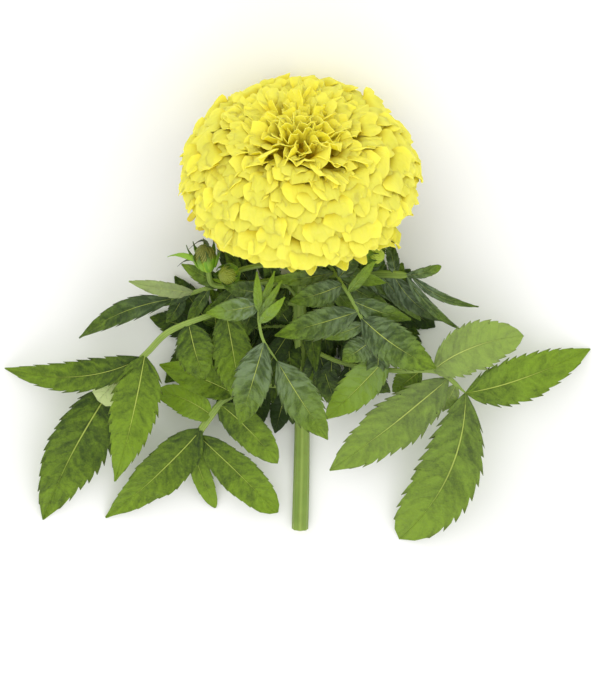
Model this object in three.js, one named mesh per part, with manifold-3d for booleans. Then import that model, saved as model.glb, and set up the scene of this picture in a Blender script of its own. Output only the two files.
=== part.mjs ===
// A picked African marigold: one double bloom on its leafy stem, lying on a flat surface.
//
// Units are millimetres. +Z is up, +Y runs from the cut end to the bloom, and +X is to the right
// of someone who looks down on the flower with the bloom at the top. Places on the plant are
// given from a point on the surface under the lowest leaves; the whole plant is centred last.

import * as THREE from 'three';
import { mergeVertices } from 'three/addons/utils/BufferGeometryUtils.js';
import Module from 'manifold-3d';

const wasm = await Module();
wasm.setup();
const { Manifold } = wasm;

// ---------------------------------------------------------------- driving dimensions

const BLOOM = {
  center: new THREE.Vector3(0, 116.6, 41.3),
  tilt: 30, // degrees that the bloom's axis rises above the surface
  radius: 48.2, // at the widest petals
  dome: 34, // height of the face above the widest petals
  skirt: 13, // depth of the lowest petals below them
  core: { radius: 40, dome: 27, skirt: 13 }, // the packed floret bases inside
  poleAngle: 3, // degrees from the axis to the first petal tips
  rimAngle: 102, // degrees from the axis to the last tips above the skirt
};

// A petal of the face stands up between its neighbours; one of the side rolls out over those
// below it. `spacing` is the distance between tips, `roll` the degrees from standing straight up.
const FACE_PETAL = { spacing: 8.4, limb: 12, width: 9, roll: 10 };
const SIDE_PETAL = { spacing: 12.4, limb: 19, width: 14, roll: 80 };
const FACE_END = 18; // degrees from the axis where the petals start to roll outwards
const SIDE_START = 70; // degrees from the axis where they are fully rolled
const PETAL = { thickness: 0.9, notch: 1.1, twist: 24 };

// The lowest petals run out from the calyx and hang down round the rim.
const SKIRT = { rings: 2, perRing: 14, root: [9, -9], bend: [35, -7], tip: [43.5, -9], width: 15 };

const CALYX = { bottom: -36, rim: -10, neckRadius: 4.4, cupRadius: 9.5 };

const STEM = {
  // centre line from the slanted cut to the neck under the calyx, with its radius at each point
  line: [
    [0, -36, 3.3, 3.3],
    [0.6, -12, 4.0, 3.2],
    [0.8, 14, 6.0, 3.0],
    [0, 42, 9.4, 2.7],
    [-0.6, 64, 13.2, 2.6],
    [0, 78.4, 19.5, 3.3],
    [0, 86, 23.6, 4.3],
  ],
  sides: 10,
  steps: 20,
};

const BLADE = 0.8; // thickness of a leaflet
const WIDEST = 0.44; // share of a leaflet's length where it is widest
const POINTED = 0.95; // how much its outline narrows to its ends: 0.5 is an oval, 1 is pointed
const JOINT_GAP = 0.3; // clearance between pieces that grow from each other
const SURFACE = 0; // height of the surface that the flower lies on

// Each leaf: its stalk runs through `stalk`; each leaflet leaves it at the share `at` of its
// length and ends at `tip`. `arch` lifts a leaflet's middle, `lean` turns its face about its rib.
const LEAVES = {
  leaf_left_large: {
    stalk: [[0, 60, 12.5], [-18, 64, 26], [-38, 61, 38], [-52, 55, 38], [-61, 44, 30], [-74, 28, 18]],
    leaflets: [
      { at: 0.8, tip: [-118, 30, 1], width: 16, arch: 8, lean: 24 },
      { at: 1.0, tip: [-103, -33, 0], width: 20, arch: 5, lean: -8 },
      { at: 0.78, tip: [-74, -13, 15], width: 19, arch: 5, lean: 6 },
      { at: 0.52, tip: [-38, 32, 26], width: 15, arch: 4, lean: -10 },
      { at: 0.36, tip: [-23, 21, 27], width: 16, arch: 5, lean: 8 },
    ],
  },
  leaf_left_upper: {
    stalk: [[-0.5, 66, 14], [-15, 70, 19], [-34, 70, 25], [-50, 65, 25]],
    leaflets: [
      { at: 1.0, tip: [-88, 45, 10], width: 11, arch: 7, lean: 28 },
      { at: 0.84, tip: [-68, 71, 20], width: 6.5, arch: 3, lean: -10 },
      { at: 0.6, tip: [-47, 79, 24], width: 7, arch: 3, lean: 0 },
      { at: 0.92, tip: [-53, 54, 20], width: 6, arch: 2, lean: 0 },
      { at: 0.4, tip: [-30, 86, 22], width: 8, arch: 2, lean: 0 },
      { at: 0.3, tip: [-25, 44, 15], width: 9, arch: 2, lean: 0 },
    ],
  },
  leaf_low_left: {
    stalk: [[0.8, 22, 6.5], [-14, 26, 12], [-29, 22, 17], [-38, 11, 16], [-43, 1, 12]],
    leaflets: [
      { at: 0.84, tip: [-78, -32, 0.4], width: 21, arch: 5, lean: -8 },
      { at: 0.5, tip: [-56, 35, 14], width: 13, arch: 4, lean: 12 },
      { at: 0.72, tip: [-57, 22, 6], width: 13, arch: 4, lean: 0 },
      { at: 0.62, tip: [-9, -6, 13], width: 17, arch: 4, lean: 6 },
      { at: 0.9, tip: [-9, -29, 4], width: 18, arch: 5, lean: 4 },
      { at: 1.0, tip: [-34, -28, 0.4], width: 8, arch: 3, lean: 0 },
    ],
  },
  leaf_front_left: {
    stalk: [[-0.4, 62, 13], [-9, 74, 33], [-16, 67, 47], [-15, 56, 50], [-9, 45, 46]],
    leaflets: [
      { at: 1.0, tip: [11, 8, 28], width: 15.5, arch: 4, lean: -14 },
      { at: 0.84, tip: [-24, 16, 35], width: 15, arch: 4, lean: 14 },
      { at: 0.6, tip: [-37, 64, 43], width: 9, arch: 3, lean: 8 },
      { at: 0.66, tip: [-17, 83, 51], width: 5, arch: 1, lean: 0 },
      { at: 0.72, tip: [-6, 74, 56], width: 5, arch: 1, lean: 0 },
    ],
  },
  leaf_front_right: {
    stalk: [[0, 74, 16.5], [10, 81, 30], [18, 74, 44], [24, 63, 44], [29, 51, 37], [35, 43, 31]],
    leaflets: [
      { at: 0.62, tip: [-10, 54, 40], width: 12.5, arch: 3, lean: 4 },
      { at: 0.45, tip: [-4, 68, 40], width: 11, arch: 3, lean: -6 },
      { at: 0.66, tip: [54, 35, 38], width: 17, arch: 5, lean: -8 },
      { at: 0.84, tip: [17, 41, 30], width: 11, arch: 2, lean: 0 },
      { at: 1.0, tip: [10, 14, 19], width: 14.5, arch: 4, lean: 8 },
    ],
  },
  leaf_right_large: {
    stalk: [[0.4, 42, 9.4], [18, 37, 20], [38, 36, 27], [55, 36, 29], [66, 26, 24]],
    leaflets: [
      { at: 0.82, tip: [89, 48, 14], width: 17, arch: 6, lean: 0 },
      { at: 1.0, tip: [116, 38, 0.4], width: 18, arch: 7, lean: -10 },
      { at: 1.0, tip: [40, -41, 0.4], width: 25, arch: 8, lean: 10 },
      { at: 0.86, tip: [12, -9, 13], width: 20, arch: 5, lean: -6 },
    ],
  },
  leaf_right_upper: {
    stalk: [[0.2, 70, 15], [16, 73, 19], [32, 76, 28], [44, 77, 34]],
    leaflets: [
      { at: 0.95, tip: [56, 81, 35], width: 5, arch: 2, lean: 10 },
      { at: 1.0, tip: [71, 60, 18], width: 4, arch: 4, lean: -16 },
      { at: 0.96, tip: [64, 51, 20], width: 4.4, arch: 4, lean: 16 },
      { at: 0.84, tip: [57, 53, 14], width: 8, arch: 4, lean: 10 },
      { at: 0.72, tip: [48, 53, 13], width: 8, arch: 3, lean: 0 },
      { at: 0.86, tip: [35, 89, 20], width: 5, arch: 2, lean: 0 },
      { at: 0.3, tip: [36, 60, 20], width: 9, arch: 3, lean: 0 },
    ],
  },
  leaf_back_left: {
    stalk: [[-0.2, 50, 8.5], [-12, 48, 4], [-26, 47, 1.2], [-38, 46, 0.8]],
    leaflets: [
      { at: 1.0, tip: [-60, 51, 0.4], width: 12, arch: 1, lean: 0 },
      { at: 0.9, tip: [-50, 68, 0.4], width: 11, arch: 1, lean: 0 },
      { at: 0.88, tip: [-54, 24, 0.4], width: 14, arch: 1, lean: 0 },
      { at: 0.55, tip: [-28, 80, 0.4], width: 13, arch: 1, lean: 0 },
      { at: 0.5, tip: [-32, 8, 0.4], width: 17, arch: 1, lean: 0 },
      { at: 0.24, tip: [-9, 14, 0.4], width: 14, arch: 1, lean: 0 },
    ],
  },
  leaf_back_right: {
    stalk: [[0, 58, 10], [14, 60, 4], [26, 60, 1.2], [38, 58, 0.8]],
    leaflets: [
      { at: 1.0, tip: [54, 47, 0.4], width: 13, arch: 1, lean: 0 },
      { at: 0.9, tip: [44, 71, 0.4], width: 12, arch: 1, lean: 0 },
      { at: 0.85, tip: [48, 26, 0.4], width: 16, arch: 1, lean: 0 },
      { at: 0.55, tip: [27, 18, 0.4], width: 17, arch: 1, lean: 0 },
      { at: 0.5, tip: [26, 84, 0.4], width: 14, arch: 1, lean: 0 },
      { at: 0.22, tip: [9, 24, 0.4], width: 13, arch: 1, lean: 0 },
    ],
  },
};

// Unopened side buds: each on its own short stalk, in a cup of narrow bracts.
const BUDS = {
  bud_left: {
    stalk: [[-0.4, 73, 16], [-18, 72, 26], [-34.6, 72.4, 30.4], [-36.4, 79.8, 33.4]],
    radius: 4.7,
    length: 11.5,
  },
  bud_middle: {
    stalk: [[-0.2, 78, 18], [-11, 79.5, 25], [-22, 78.5, 29], [-26, 78.5, 35]],
    radius: 4.3,
    length: 9,
  },
  bud_right: {
    stalk: [[0.2, 79.5, 18.4], [12, 82.8, 24], [24.5, 84.2, 30]],
    radius: 4,
    length: 10,
  },
};

// ---------------------------------------------------------------- small tools

const UP = new THREE.Vector3(0, 0, 1);
const radians = THREE.MathUtils.degToRad;
const vector = ([x, y, z]) => new THREE.Vector3(x, y, z);

/** Seeded generator of numbers from 0 to 1, so that each build draws the same petals. */
function seededRandom(seed) {
  let state = seed;
  return () => {
    state = (state + 0x6d2b79f5) | 0;
    let t = Math.imul(state ^ (state >>> 15), 1 | state);
    t = (t + Math.imul(t ^ (t >>> 7), 61 | t)) ^ t;
    return ((t ^ (t >>> 14)) >>> 0) / 4294967296;
  };
}

/** A closed three.js geometry as a manifold-3d solid. */
function solidOf(geometry) {
  const bare = new THREE.BufferGeometry();
  bare.setAttribute('position', geometry.getAttribute('position'));
  bare.setIndex(geometry.index);
  const merged = mergeVertices(bare, 1e-4);
  return new Manifold(new wasm.Mesh({
    numProp: 3,
    vertProperties: merged.attributes.position.array,
    triVerts: new Uint32Array(merged.index.array),
  }));
}

/** The largest single body of a manifold-3d solid as a three.js geometry. */
function geometryOf(solid) {
  const bodies = solid.decompose().sort((a, b) => b.volume() - a.volume());
  const mesh = bodies[0].getMesh();
  const geometry = new THREE.BufferGeometry();
  geometry.setAttribute('position', new THREE.BufferAttribute(new Float32Array(mesh.vertProperties), 3));
  geometry.setIndex(new THREE.BufferAttribute(new Uint32Array(mesh.triVerts), 1));
  geometry.computeVertexNormals();
  return geometry;
}

/** A closed indexed geometry from points and triangles. */
function closedGeometry(points, triangles) {
  const geometry = new THREE.BufferGeometry();
  const flat = points.flatMap((p) => [p.x, p.y, p.z]);
  geometry.setAttribute('position', new THREE.Float32BufferAttribute(flat, 3));
  geometry.setIndex(triangles);
  return geometry;
}

/** Triangles of the strip between two rows of point numbers, which may differ in length. */
function stripBetween(lower, upper) {
  const triangles = [];
  let [i, j] = [0, 0];
  while (i < lower.length - 1 || j < upper.length - 1) {
    const next = [(i + 1) / (lower.length - 1 || 0.1), (j + 1) / (upper.length - 1 || 0.1)];
    if (next[0] <= next[1]) {
      triangles.push([lower[i], lower[i + 1], upper[j]]);
      i += 1;
    } else {
      triangles.push([lower[i], upper[j + 1], upper[j]]);
      j += 1;
    }
  }
  return triangles;
}

/**
 * Closed thin blade through rows of points. Each row runs from the left edge to the right one and
 * has one normal, so that the two faces are split into triangles alike.
 */
function bladeGeometry(rows, normals, thickness) {
  const points = [];
  for (const side of [0.5, -0.5]) {
    rows.forEach((row, i) => row.forEach((p) => {
      points.push(p.clone().addScaledVector(normals[i], side * thickness));
    }));
  }
  const count = points.length / 2;
  let first = 0;
  const numbers = rows.map((row) => {
    first += row.length;
    return row.map((p, j) => first - row.length + j);
  });
  const triangles = [];
  for (let i = 0; i < rows.length - 1; i += 1) {
    for (const [p, q, r] of stripBetween(numbers[i], numbers[i + 1])) {
      triangles.push(p, q, r, r + count, q + count, p + count);
    }
  }
  const inner = numbers.slice(1, -1);
  const rim = [
    ...numbers[0],
    ...inner.map((row) => row.at(-1)),
    ...numbers.at(-1).toReversed(),
    ...inner.map((row) => row[0]).toReversed(),
  ];
  rim.forEach((p, k) => {
    const q = rim[(k + 1) % rim.length];
    triangles.push(p, p + count, q + count, p, q + count, q);
  });
  return closedGeometry(points, triangles);
}

/** Closed round rod along a curve; radiusAt gives its radius at a share of the length. */
function rodGeometry(curve, radiusAt, sides, steps) {
  const frames = curve.computeFrenetFrames(steps, false);
  const points = [];
  const triangles = [];
  for (let i = 0; i <= steps; i += 1) {
    const center = curve.getPointAt(i / steps);
    for (let j = 0; j < sides; j += 1) {
      const angle = (2 * Math.PI * j) / sides;
      points.push(center.clone()
        .addScaledVector(frames.normals[i], radiusAt(i / steps) * Math.cos(angle))
        .addScaledVector(frames.binormals[i], radiusAt(i / steps) * Math.sin(angle)));
    }
  }
  for (let i = 0; i < steps; i += 1) {
    for (let j = 0; j < sides; j += 1) {
      const [a, b] = [i * sides + j, i * sides + ((j + 1) % sides)];
      triangles.push(a, b, b + sides, a, b + sides, a + sides);
    }
  }
  for (let j = 1; j < sides - 1; j += 1) {
    const last = steps * sides;
    triangles.push(0, j + 1, j, last, last + j, last + j + 1);
  }
  return closedGeometry(points, triangles);
}

const smoothCurve = (points) => new THREE.CatmullRomCurve3(points.map(vector), false, 'centripetal');

// ---------------------------------------------------------------- stem and calyx

/** Radius of the stem at a share of its length, read between the points of its centre line. */
function stemRadius(share) {
  const place = share * (STEM.line.length - 1);
  const i = Math.min(Math.floor(place), STEM.line.length - 2);
  return THREE.MathUtils.lerp(STEM.line[i][3], STEM.line[i + 1][3], place - i);
}

/** The stem as a solid, grown outwards all round by `extra`. */
function stemSolid(extra = 0) {
  const curve = smoothCurve(STEM.line);
  return solidOf(rodGeometry(curve, (t) => stemRadius(t) + extra, STEM.sides, STEM.steps));
}

/** The bloom's own frame: +Z along its axis towards the face, at the middle of its widest petals. */
function bloomMatrix() {
  const turn = new THREE.Euler(-radians(90 - BLOOM.tilt), 0, 0);
  return new THREE.Matrix4().makeRotationFromEuler(turn).setPosition(BLOOM.center);
}

/** The calyx in the bloom's frame: a ribbed cup of joined bracts, grown outwards by `extra`. */
function calyxSolid(extra = 0) {
  const { bottom, rim, neckRadius, cupRadius } = CALYX;
  const profile = [
    [0, bottom - extra],
    [neckRadius * 0.85 + extra, bottom - extra],
    [neckRadius + 1 + extra, bottom + 3],
    [cupRadius - 1.6 + extra, bottom + 9],
    [cupRadius + extra, bottom + 16],
    [cupRadius - 0.6 + extra, rim + extra],
    [0, rim + extra],
  ].map(([r, z]) => new THREE.Vector2(r, z));
  const geometry = new THREE.LatheGeometry(profile, 16);
  geometry.rotateX(Math.PI / 2);
  return solidOf(geometry);
}

// ---------------------------------------------------------------- bloom

/** Point on a flattened ball of the given size at an angle from its axis and round it. */
function domePoint(fromAxis, round, size = BLOOM, share = 1) {
  const height = fromAxis < Math.PI / 2 ? size.dome : size.skirt;
  const reach = share / Math.hypot(Math.sin(fromAxis) / size.radius, Math.cos(fromAxis) / height);
  const out = Math.sin(fromAxis) * reach;
  return new THREE.Vector3(out * Math.cos(round), out * Math.sin(round), Math.cos(fromAxis) * reach);
}

/** The measures of a petal whose tip stands at an angle from the axis. */
function petalAt(fromAxis) {
  const share = THREE.MathUtils.smoothstep(fromAxis, radians(FACE_END), radians(SIDE_START));
  const between = (key) => THREE.MathUtils.lerp(FACE_PETAL[key], SIDE_PETAL[key], share);
  return {
    spacing: between('spacing'), limb: between('limb'), width: between('width'), roll: between('roll'),
  };
}

/** Angles from the axis that spread the petal tips over the bloom at the petals' own spacing. */
function tipAngles() {
  const angles = [];
  const step = radians(0.2);
  let owed = 0.5;
  for (let angle = radians(BLOOM.poleAngle); angle < radians(BLOOM.rimAngle); angle += step) {
    const here = domePoint(angle, 0);
    const band = 2 * Math.PI * here.x * here.distanceTo(domePoint(angle + step, 0));
    owed += band / petalAt(angle).spacing ** 2;
    if (owed >= 1) {
      angles.push(angle);
      owed -= 1;
    }
  }
  return angles;
}

/** A petal along a curve from the share `start`: a strap that widens to a limb with a notched tip. */
function petalSolid(line, start, round, width, random) {
  const side = new THREE.Vector3(-Math.sin(round), Math.cos(round), 0);
  const twist = radians(PETAL.twist * (random() - 0.5));
  const half = (width * (0.9 + 0.2 * random())) / 2;
  const stations = [
    { at: start, edges: [-0.3 - start, 0.3 + start] },
    { at: 0.8, edges: [-1, 1] },
    { at: 1, edges: [-0.62, 0, 0.62] },
  ];
  const rows = [];
  const normals = [];
  for (const { at, edges } of stations) {
    const center = line.getPoint(at);
    const tangent = line.getTangent(at);
    const across = side.clone().applyAxisAngle(tangent, twist);
    rows.push(edges.map((edge) => center.clone()
      .addScaledVector(across, edge * half)
      .addScaledVector(tangent, edge === 0 ? -PETAL.notch : 0)));
    normals.push(new THREE.Vector3().crossVectors(tangent, across).normalize());
  }
  return facingOut(bladeGeometry(rows, normals, PETAL.thickness));
}

/** Share of a petal's line where it leaves the core, a little under the core's surface. */
function rootShare(line) {
  const { radius, dome, skirt } = BLOOM.core;
  let share = 0.44;
  let depth = 2;
  while (depth > 0.92 && share > 0) {
    share -= 0.04;
    const p = line.getPoint(share);
    depth = Math.hypot(p.x / radius, p.y / radius, p.z / (p.z > 0 ? dome : skirt));
  }
  return share;
}

/** A petal with its tip on the bloom's outline, rolled outwards by its place. */
function domePetal(fromAxis, round, random) {
  const { limb, width, roll } = petalAt(fromAxis);
  const tip = domePoint(fromAxis, round, BLOOM, 0.97 + 0.06 * random());
  const outward = domePoint(fromAxis, round).normalize();
  const side = new THREE.Vector3(-Math.sin(round), Math.cos(round), 0);
  const down = new THREE.Vector3().crossVectors(side, outward);
  const lift = radians(roll + 12 * (random() - 0.5));
  const heading = outward.clone().multiplyScalar(Math.cos(lift)).addScaledVector(down, Math.sin(lift));
  const shoulder = tip.clone().addScaledVector(heading, -0.7 * limb).addScaledVector(outward, 2);
  const root = shoulder.clone().lerp(new THREE.Vector3(0, 0, -BLOOM.skirt), 0.3);
  const line = new THREE.QuadraticBezierCurve3(root, shoulder, tip);
  return petalSolid(line, rootShare(line), round, width, random);
}

/** A petal of the lowest rings, from the calyx to the rim. */
function skirtPetal(round, random) {
  const spread = 0.94 + 0.12 * random();
  const place = ([r, z]) => new THREE.Vector3(r * Math.cos(round), r * Math.sin(round), z * spread);
  const line = new THREE.QuadraticBezierCurve3(place(SKIRT.root), place(SKIRT.bend), place(SKIRT.tip));
  return petalSolid(line, 0.05, round, SKIRT.width, random);
}

/** A solid from a blade, turned inside out first where its rows ran the other way. */
function facingOut(geometry) {
  const solid = solidOf(geometry);
  if (solid.volume() > 0) return solid;
  const index = geometry.index.array;
  for (let i = 0; i < index.length; i += 3) [index[i], index[i + 1]] = [index[i + 1], index[i]];
  return solidOf(geometry);
}

/** The packed floret bases: a flattened ball that the petals stand out of. */
function coreSolid() {
  const profile = [];
  const steps = 12;
  for (let i = 0; i <= steps; i += 1) {
    const p = domePoint((Math.PI * (steps - i)) / steps, 0, BLOOM.core);
    profile.push(new THREE.Vector2(i % steps === 0 ? 0 : p.x, p.z));
  }
  const geometry = new THREE.LatheGeometry(profile, 24);
  geometry.rotateX(Math.PI / 2);
  return solidOf(geometry);
}

/** A block that fills everything under the surface, in the bloom's frame. */
function groundSolid(matrix) {
  const size = 400;
  const block = new THREE.BoxGeometry(size, size, size);
  block.translate(0, 120, SURFACE - size / 2);
  block.applyMatrix4(matrix.clone().invert());
  return solidOf(block);
}

/** The whole bloom in its own frame, pressed flat where it rests. */
function bloomGeometry(matrix) {
  const random = seededRandom(1707);
  const goldenAngle = Math.PI * (3 - Math.sqrt(5));
  const parts = [coreSolid()];
  tipAngles().forEach((angle, i) => parts.push(domePetal(angle, i * goldenAngle, random)));
  for (let k = 0; k < SKIRT.rings * SKIRT.perRing; k += 1) {
    const between = Math.floor(k / SKIRT.perRing) / SKIRT.rings;
    parts.push(skirtPetal((2 * Math.PI * (k + between)) / SKIRT.perRing, random));
  }
  const whole = Manifold.union(parts);
  return geometryOf(whole.subtract(calyxSolid(JOINT_GAP)).subtract(groundSolid(matrix)));
}

// ---------------------------------------------------------------- leaves

/** Keeps a point of a blade's face at or above its own place on the surface. */
function settle(geometry, thickness) {
  const p = geometry.getAttribute('position');
  const half = p.count / 2;
  for (let i = 0; i < p.count; i += 1) {
    const lowest = SURFACE + (i < half ? thickness : 0);
    if (p.getZ(i) < lowest) p.setZ(i, lowest);
  }
  return geometry;
}

/** Half width of a leaflet at a share of its length, as a share of its greatest half width. */
function outlineAt(share) {
  const skewed = Math.pow(share, Math.log(0.5) / Math.log(WIDEST));
  return Math.pow(4 * skewed * (1 - skewed), POINTED);
}

/** One leaflet: an arched blade, folded a little along its rib, with teeth that point forwards. */
function leafletSolid(base, leaflet) {
  const tip = vector(leaflet.tip);
  const middle = base.clone().lerp(tip, 0.45).addScaledVector(UP, 2 * leaflet.arch);
  const line = new THREE.QuadraticBezierCurve3(base, middle, tip);
  const teeth = leaflet.width > 15 ? 5 : leaflet.width > 9 ? 4 : 3;
  const stations = [[0, 0, 1]];
  for (let k = 0; k < teeth; k += 1) {
    const start = 0.1 + (0.84 * k) / teeth;
    stations.push([start, 0, 0.88], [start + 0.5 / teeth, 0.03, 1.06]);
  }
  stations.push([1, 0, 1]);
  const half = leaflet.width / 2;
  const rows = [];
  const normals = [];
  const length = line.getLength();
  for (const [t, forward, swell] of stations) {
    const rib = line.getPoint(t);
    const tangent = line.getTangent(t);
    const level = new THREE.Vector3().crossVectors(tangent, UP).normalize();
    const across = level.applyAxisAngle(tangent, radians(leaflet.lean));
    const normal = new THREE.Vector3().crossVectors(across, tangent).normalize();
    const reach = Math.max(half * outlineAt(Math.min(t, 0.985)) * swell, 0.5);
    const edge = (sign) => rib.clone()
      .addScaledVector(across, sign * reach)
      .addScaledVector(normal, 0.1 * reach)
      .addScaledVector(tangent, forward * length);
    rows.push(t > 0 && t < 1 ? [edge(-1), rib, edge(1)] : [rib]);
    normals.push(normal);
  }
  return facingOut(settle(bladeGeometry(rows, normals, BLADE), BLADE));
}

/** Point in the middle of a rod of that many steps, at a share of its length. */
function rodCenter(curve, steps, share) {
  const step = Math.min(Math.floor(share * steps), steps - 1);
  return curve.getPointAt(step / steps).lerp(curve.getPointAt((step + 1) / steps), share * steps - step);
}

/** A whole leaf: its stalk with every leaflet grown from it, clear of the stem. */
function leafGeometry(leaf, clearance) {
  const stalk = smoothCurve(leaf.stalk);
  const steps = 8;
  const radiusAt = (t) => 1.3 - 0.5 * t;
  const parts = [facingOut(rodGeometry(stalk, radiusAt, 6, steps))];
  for (const leaflet of leaf.leaflets) {
    parts.push(leafletSolid(rodCenter(stalk, steps, leaflet.at), leaflet));
  }
  return geometryOf(Manifold.union(parts).subtract(clearance));
}

// ---------------------------------------------------------------- buds

/** A side bud: its stalk, a ribbed green cup and the closed tip of the florets. */
function budGeometry(bud, clearance) {
  const stalk = smoothCurve(bud.stalk);
  const rod = rodGeometry(stalk, () => 1.1, 6, 6);
  const { radius, length } = bud;
  const profile = [
    [0, -1], [radius * 0.45, 0], [radius * 0.86, length * 0.2], [radius, length * 0.5],
    [radius * 0.86, length * 0.8], [radius * 0.5, length], [0, length * 0.96],
  ].map(([r, z]) => new THREE.Vector2(r, z));
  const cup = new THREE.LatheGeometry(profile, 10);
  cup.rotateX(Math.PI / 2);
  const heading = stalk.getTangentAt(1);
  cup.applyQuaternion(new THREE.Quaternion().setFromUnitVectors(UP, heading));
  const end = stalk.getPointAt(1);
  cup.translate(end.x, end.y, end.z);
  return geometryOf(Manifold.union([facingOut(rod), facingOut(cup)]).subtract(clearance));
}

// ---------------------------------------------------------------- assembly

const petalYellow = new THREE.MeshStandardMaterial({ color: 0xf4e53a, roughness: 0.6, metalness: 0 });
const calyxGreen = new THREE.MeshStandardMaterial({ color: 0x5f8a35, roughness: 0.6, metalness: 0 });
const stemGreen = new THREE.MeshStandardMaterial({ color: 0x6f9440, roughness: 0.6, metalness: 0 });
const leafGreen = new THREE.MeshStandardMaterial({ color: 0x56802c, roughness: 0.55, metalness: 0 });
const budGreen = new THREE.MeshStandardMaterial({ color: 0x74a436, roughness: 0.6, metalness: 0 });

/** A named mesh whose geometry is measured from its own root, standing at that root. */
function placedMesh(name, geometry, material, root) {
  geometry.translate(-root.x, -root.y, -root.z);
  const mesh = new THREE.Mesh(geometry, material);
  mesh.name = name;
  mesh.position.copy(root);
  return mesh;
}

const plant = new THREE.Group();
const matrix = bloomMatrix();

const head = new THREE.Group();
head.position.copy(BLOOM.center);
head.rotation.x = -radians(90 - BLOOM.tilt);
plant.add(head);

const bloom = new THREE.Mesh(bloomGeometry(matrix), petalYellow);
bloom.name = 'bloom';
const calyx = new THREE.Mesh(geometryOf(calyxSolid()), calyxGreen);
calyx.name = 'calyx';
head.add(bloom, calyx);

const calyxClearance = calyxSolid(JOINT_GAP).transform(matrix.elements);
const stem = stemSolid().subtract(calyxClearance);
plant.add(placedMesh('stem', geometryOf(stem), stemGreen, vector(STEM.line[0])));

const stemClearance = stemSolid(JOINT_GAP).add(calyxClearance);
for (const [name, leaf] of Object.entries(LEAVES)) {
  plant.add(placedMesh(name, leafGeometry(leaf, stemClearance), leafGreen, vector(leaf.stalk[0])));
}
for (const [name, bud] of Object.entries(BUDS)) {
  plant.add(placedMesh(name, budGeometry(bud, stemClearance), budGreen, vector(bud.stalk[0])));
}

// The frame's origin: on the surface, under the middle of the whole flower.
const marigold = new THREE.Group();
marigold.add(plant);
const extent = new THREE.Box3().setFromObject(plant, true);
const middle = extent.getCenter(new THREE.Vector3());
plant.position.set(-middle.x, -middle.y, -extent.min.z);

export default marigold;
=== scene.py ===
"""The looks of a picked African marigold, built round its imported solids.

The flower lies on a flat surface with its bloom towards +Y. Lengths in the tables are in
millimetres on the plant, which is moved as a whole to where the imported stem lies.
"""

import logging
import math
import random
from dataclasses import dataclass, field, replace
from enum import Enum
from typing import Sequence

import bpy
import numpy as np
from mathutils import Matrix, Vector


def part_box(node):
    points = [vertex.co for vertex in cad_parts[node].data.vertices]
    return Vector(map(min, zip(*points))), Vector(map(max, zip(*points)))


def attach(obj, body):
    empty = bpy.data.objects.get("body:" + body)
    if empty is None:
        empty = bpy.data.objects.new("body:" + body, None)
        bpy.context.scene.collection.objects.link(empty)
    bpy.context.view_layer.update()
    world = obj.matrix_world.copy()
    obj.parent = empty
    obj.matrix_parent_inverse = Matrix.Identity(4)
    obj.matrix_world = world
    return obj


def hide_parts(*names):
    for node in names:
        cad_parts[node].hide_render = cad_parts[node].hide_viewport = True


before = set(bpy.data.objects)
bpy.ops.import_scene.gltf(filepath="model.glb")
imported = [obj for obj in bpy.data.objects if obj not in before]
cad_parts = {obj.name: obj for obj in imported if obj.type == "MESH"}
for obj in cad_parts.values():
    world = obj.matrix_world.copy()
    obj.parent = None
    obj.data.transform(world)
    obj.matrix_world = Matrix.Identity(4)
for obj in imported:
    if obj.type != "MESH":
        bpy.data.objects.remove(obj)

LOG = logging.getLogger("marigold")
Array = np.ndarray
Point = tuple[float, float, float]

MM = 0.001
BODY = "root"
UP = np.array((0.0, 0.0, 1.0))
GOLDEN_ANGLE = math.pi * (3 - math.sqrt(5))
SHARP_TEETH = 1.0
BLUNT_TEETH = 0.45
GREENERY_SEED = 29


# ------------------------------------------------------------------ small geometry


def unit(vectors: Array) -> Array:
    """Returns the vectors at length 1."""
    return vectors / np.linalg.norm(vectors, axis=-1, keepdims=True)


def blend(low: float | Array, high: float | Array, share: float | Array) -> float | Array:
    """Returns the value at a share of the way from low to high."""
    return low + (high - low) * share


def eased(value: float | Array, low: float, high: float) -> float | Array:
    """Returns 0 below low, 1 above high and a smooth rise between."""
    share = np.clip((value - low) / (high - low), 0.0, 1.0)
    return share * share * (3 - 2 * share)


def spread(rng: random.Random, reach: float) -> float:
    """Draws a number that lies at most the reach from 0, either way."""
    return rng.uniform(-reach, reach)


def turned(vectors: Array, axes: Array, angles: float | Array) -> Array:
    """Turns vectors about unit axes that stand square to them.

    Args:
        vectors: The vectors, one to a row.
        axes: A unit axis for each vector.
        angles: Radians, one for all or one for each row.

    Returns:
        The turned vectors.
    """
    angles = np.broadcast_to(np.asarray(angles, dtype=float), vectors.shape[:1])[:, None]
    return vectors * np.cos(angles) + np.cross(axes, vectors) * np.sin(angles)


def rested(points: Array, lowest: float, depth: float) -> Array:
    """Presses points that would sink into the surface up into a thin layer on it.

    Args:
        points: The points, one to a row.
        lowest: Height that no point goes under.
        depth: Height of the layer above it, in which the points are squeezed.

    Returns:
        The points, with only their heights changed.
    """
    top = lowest + depth
    heights = points[:, 2]
    squeezed = lowest + depth * np.exp((np.minimum(heights, top) - top) / depth)
    rested_points = points.copy()
    rested_points[:, 2] = np.where(heights < top, squeezed, heights)
    return rested_points


@dataclass(frozen=True)
class Arch:
    """A curve from a root to a tip that a middle point bends."""

    root: Array
    bend: Array
    tip: Array

    def at(self, share: Array) -> Array:
        """Returns points on the curve, one for each share."""
        t = np.asarray(share)[:, None]
        return (1 - t) ** 2 * self.root + 2 * t * (1 - t) * self.bend + t * t * self.tip

    def heading(self, share: Array) -> Array:
        """Returns unit directions along the curve, one for each share."""
        t = np.asarray(share)[:, None]
        return unit((1 - t) * (self.bend - self.root) + t * (self.tip - self.bend))

    def length(self) -> float:
        """Returns the curve's length."""
        points = self.at(np.linspace(0, 1, 33))
        return float(np.linalg.norm(np.diff(points, axis=0), axis=1).sum())


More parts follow.
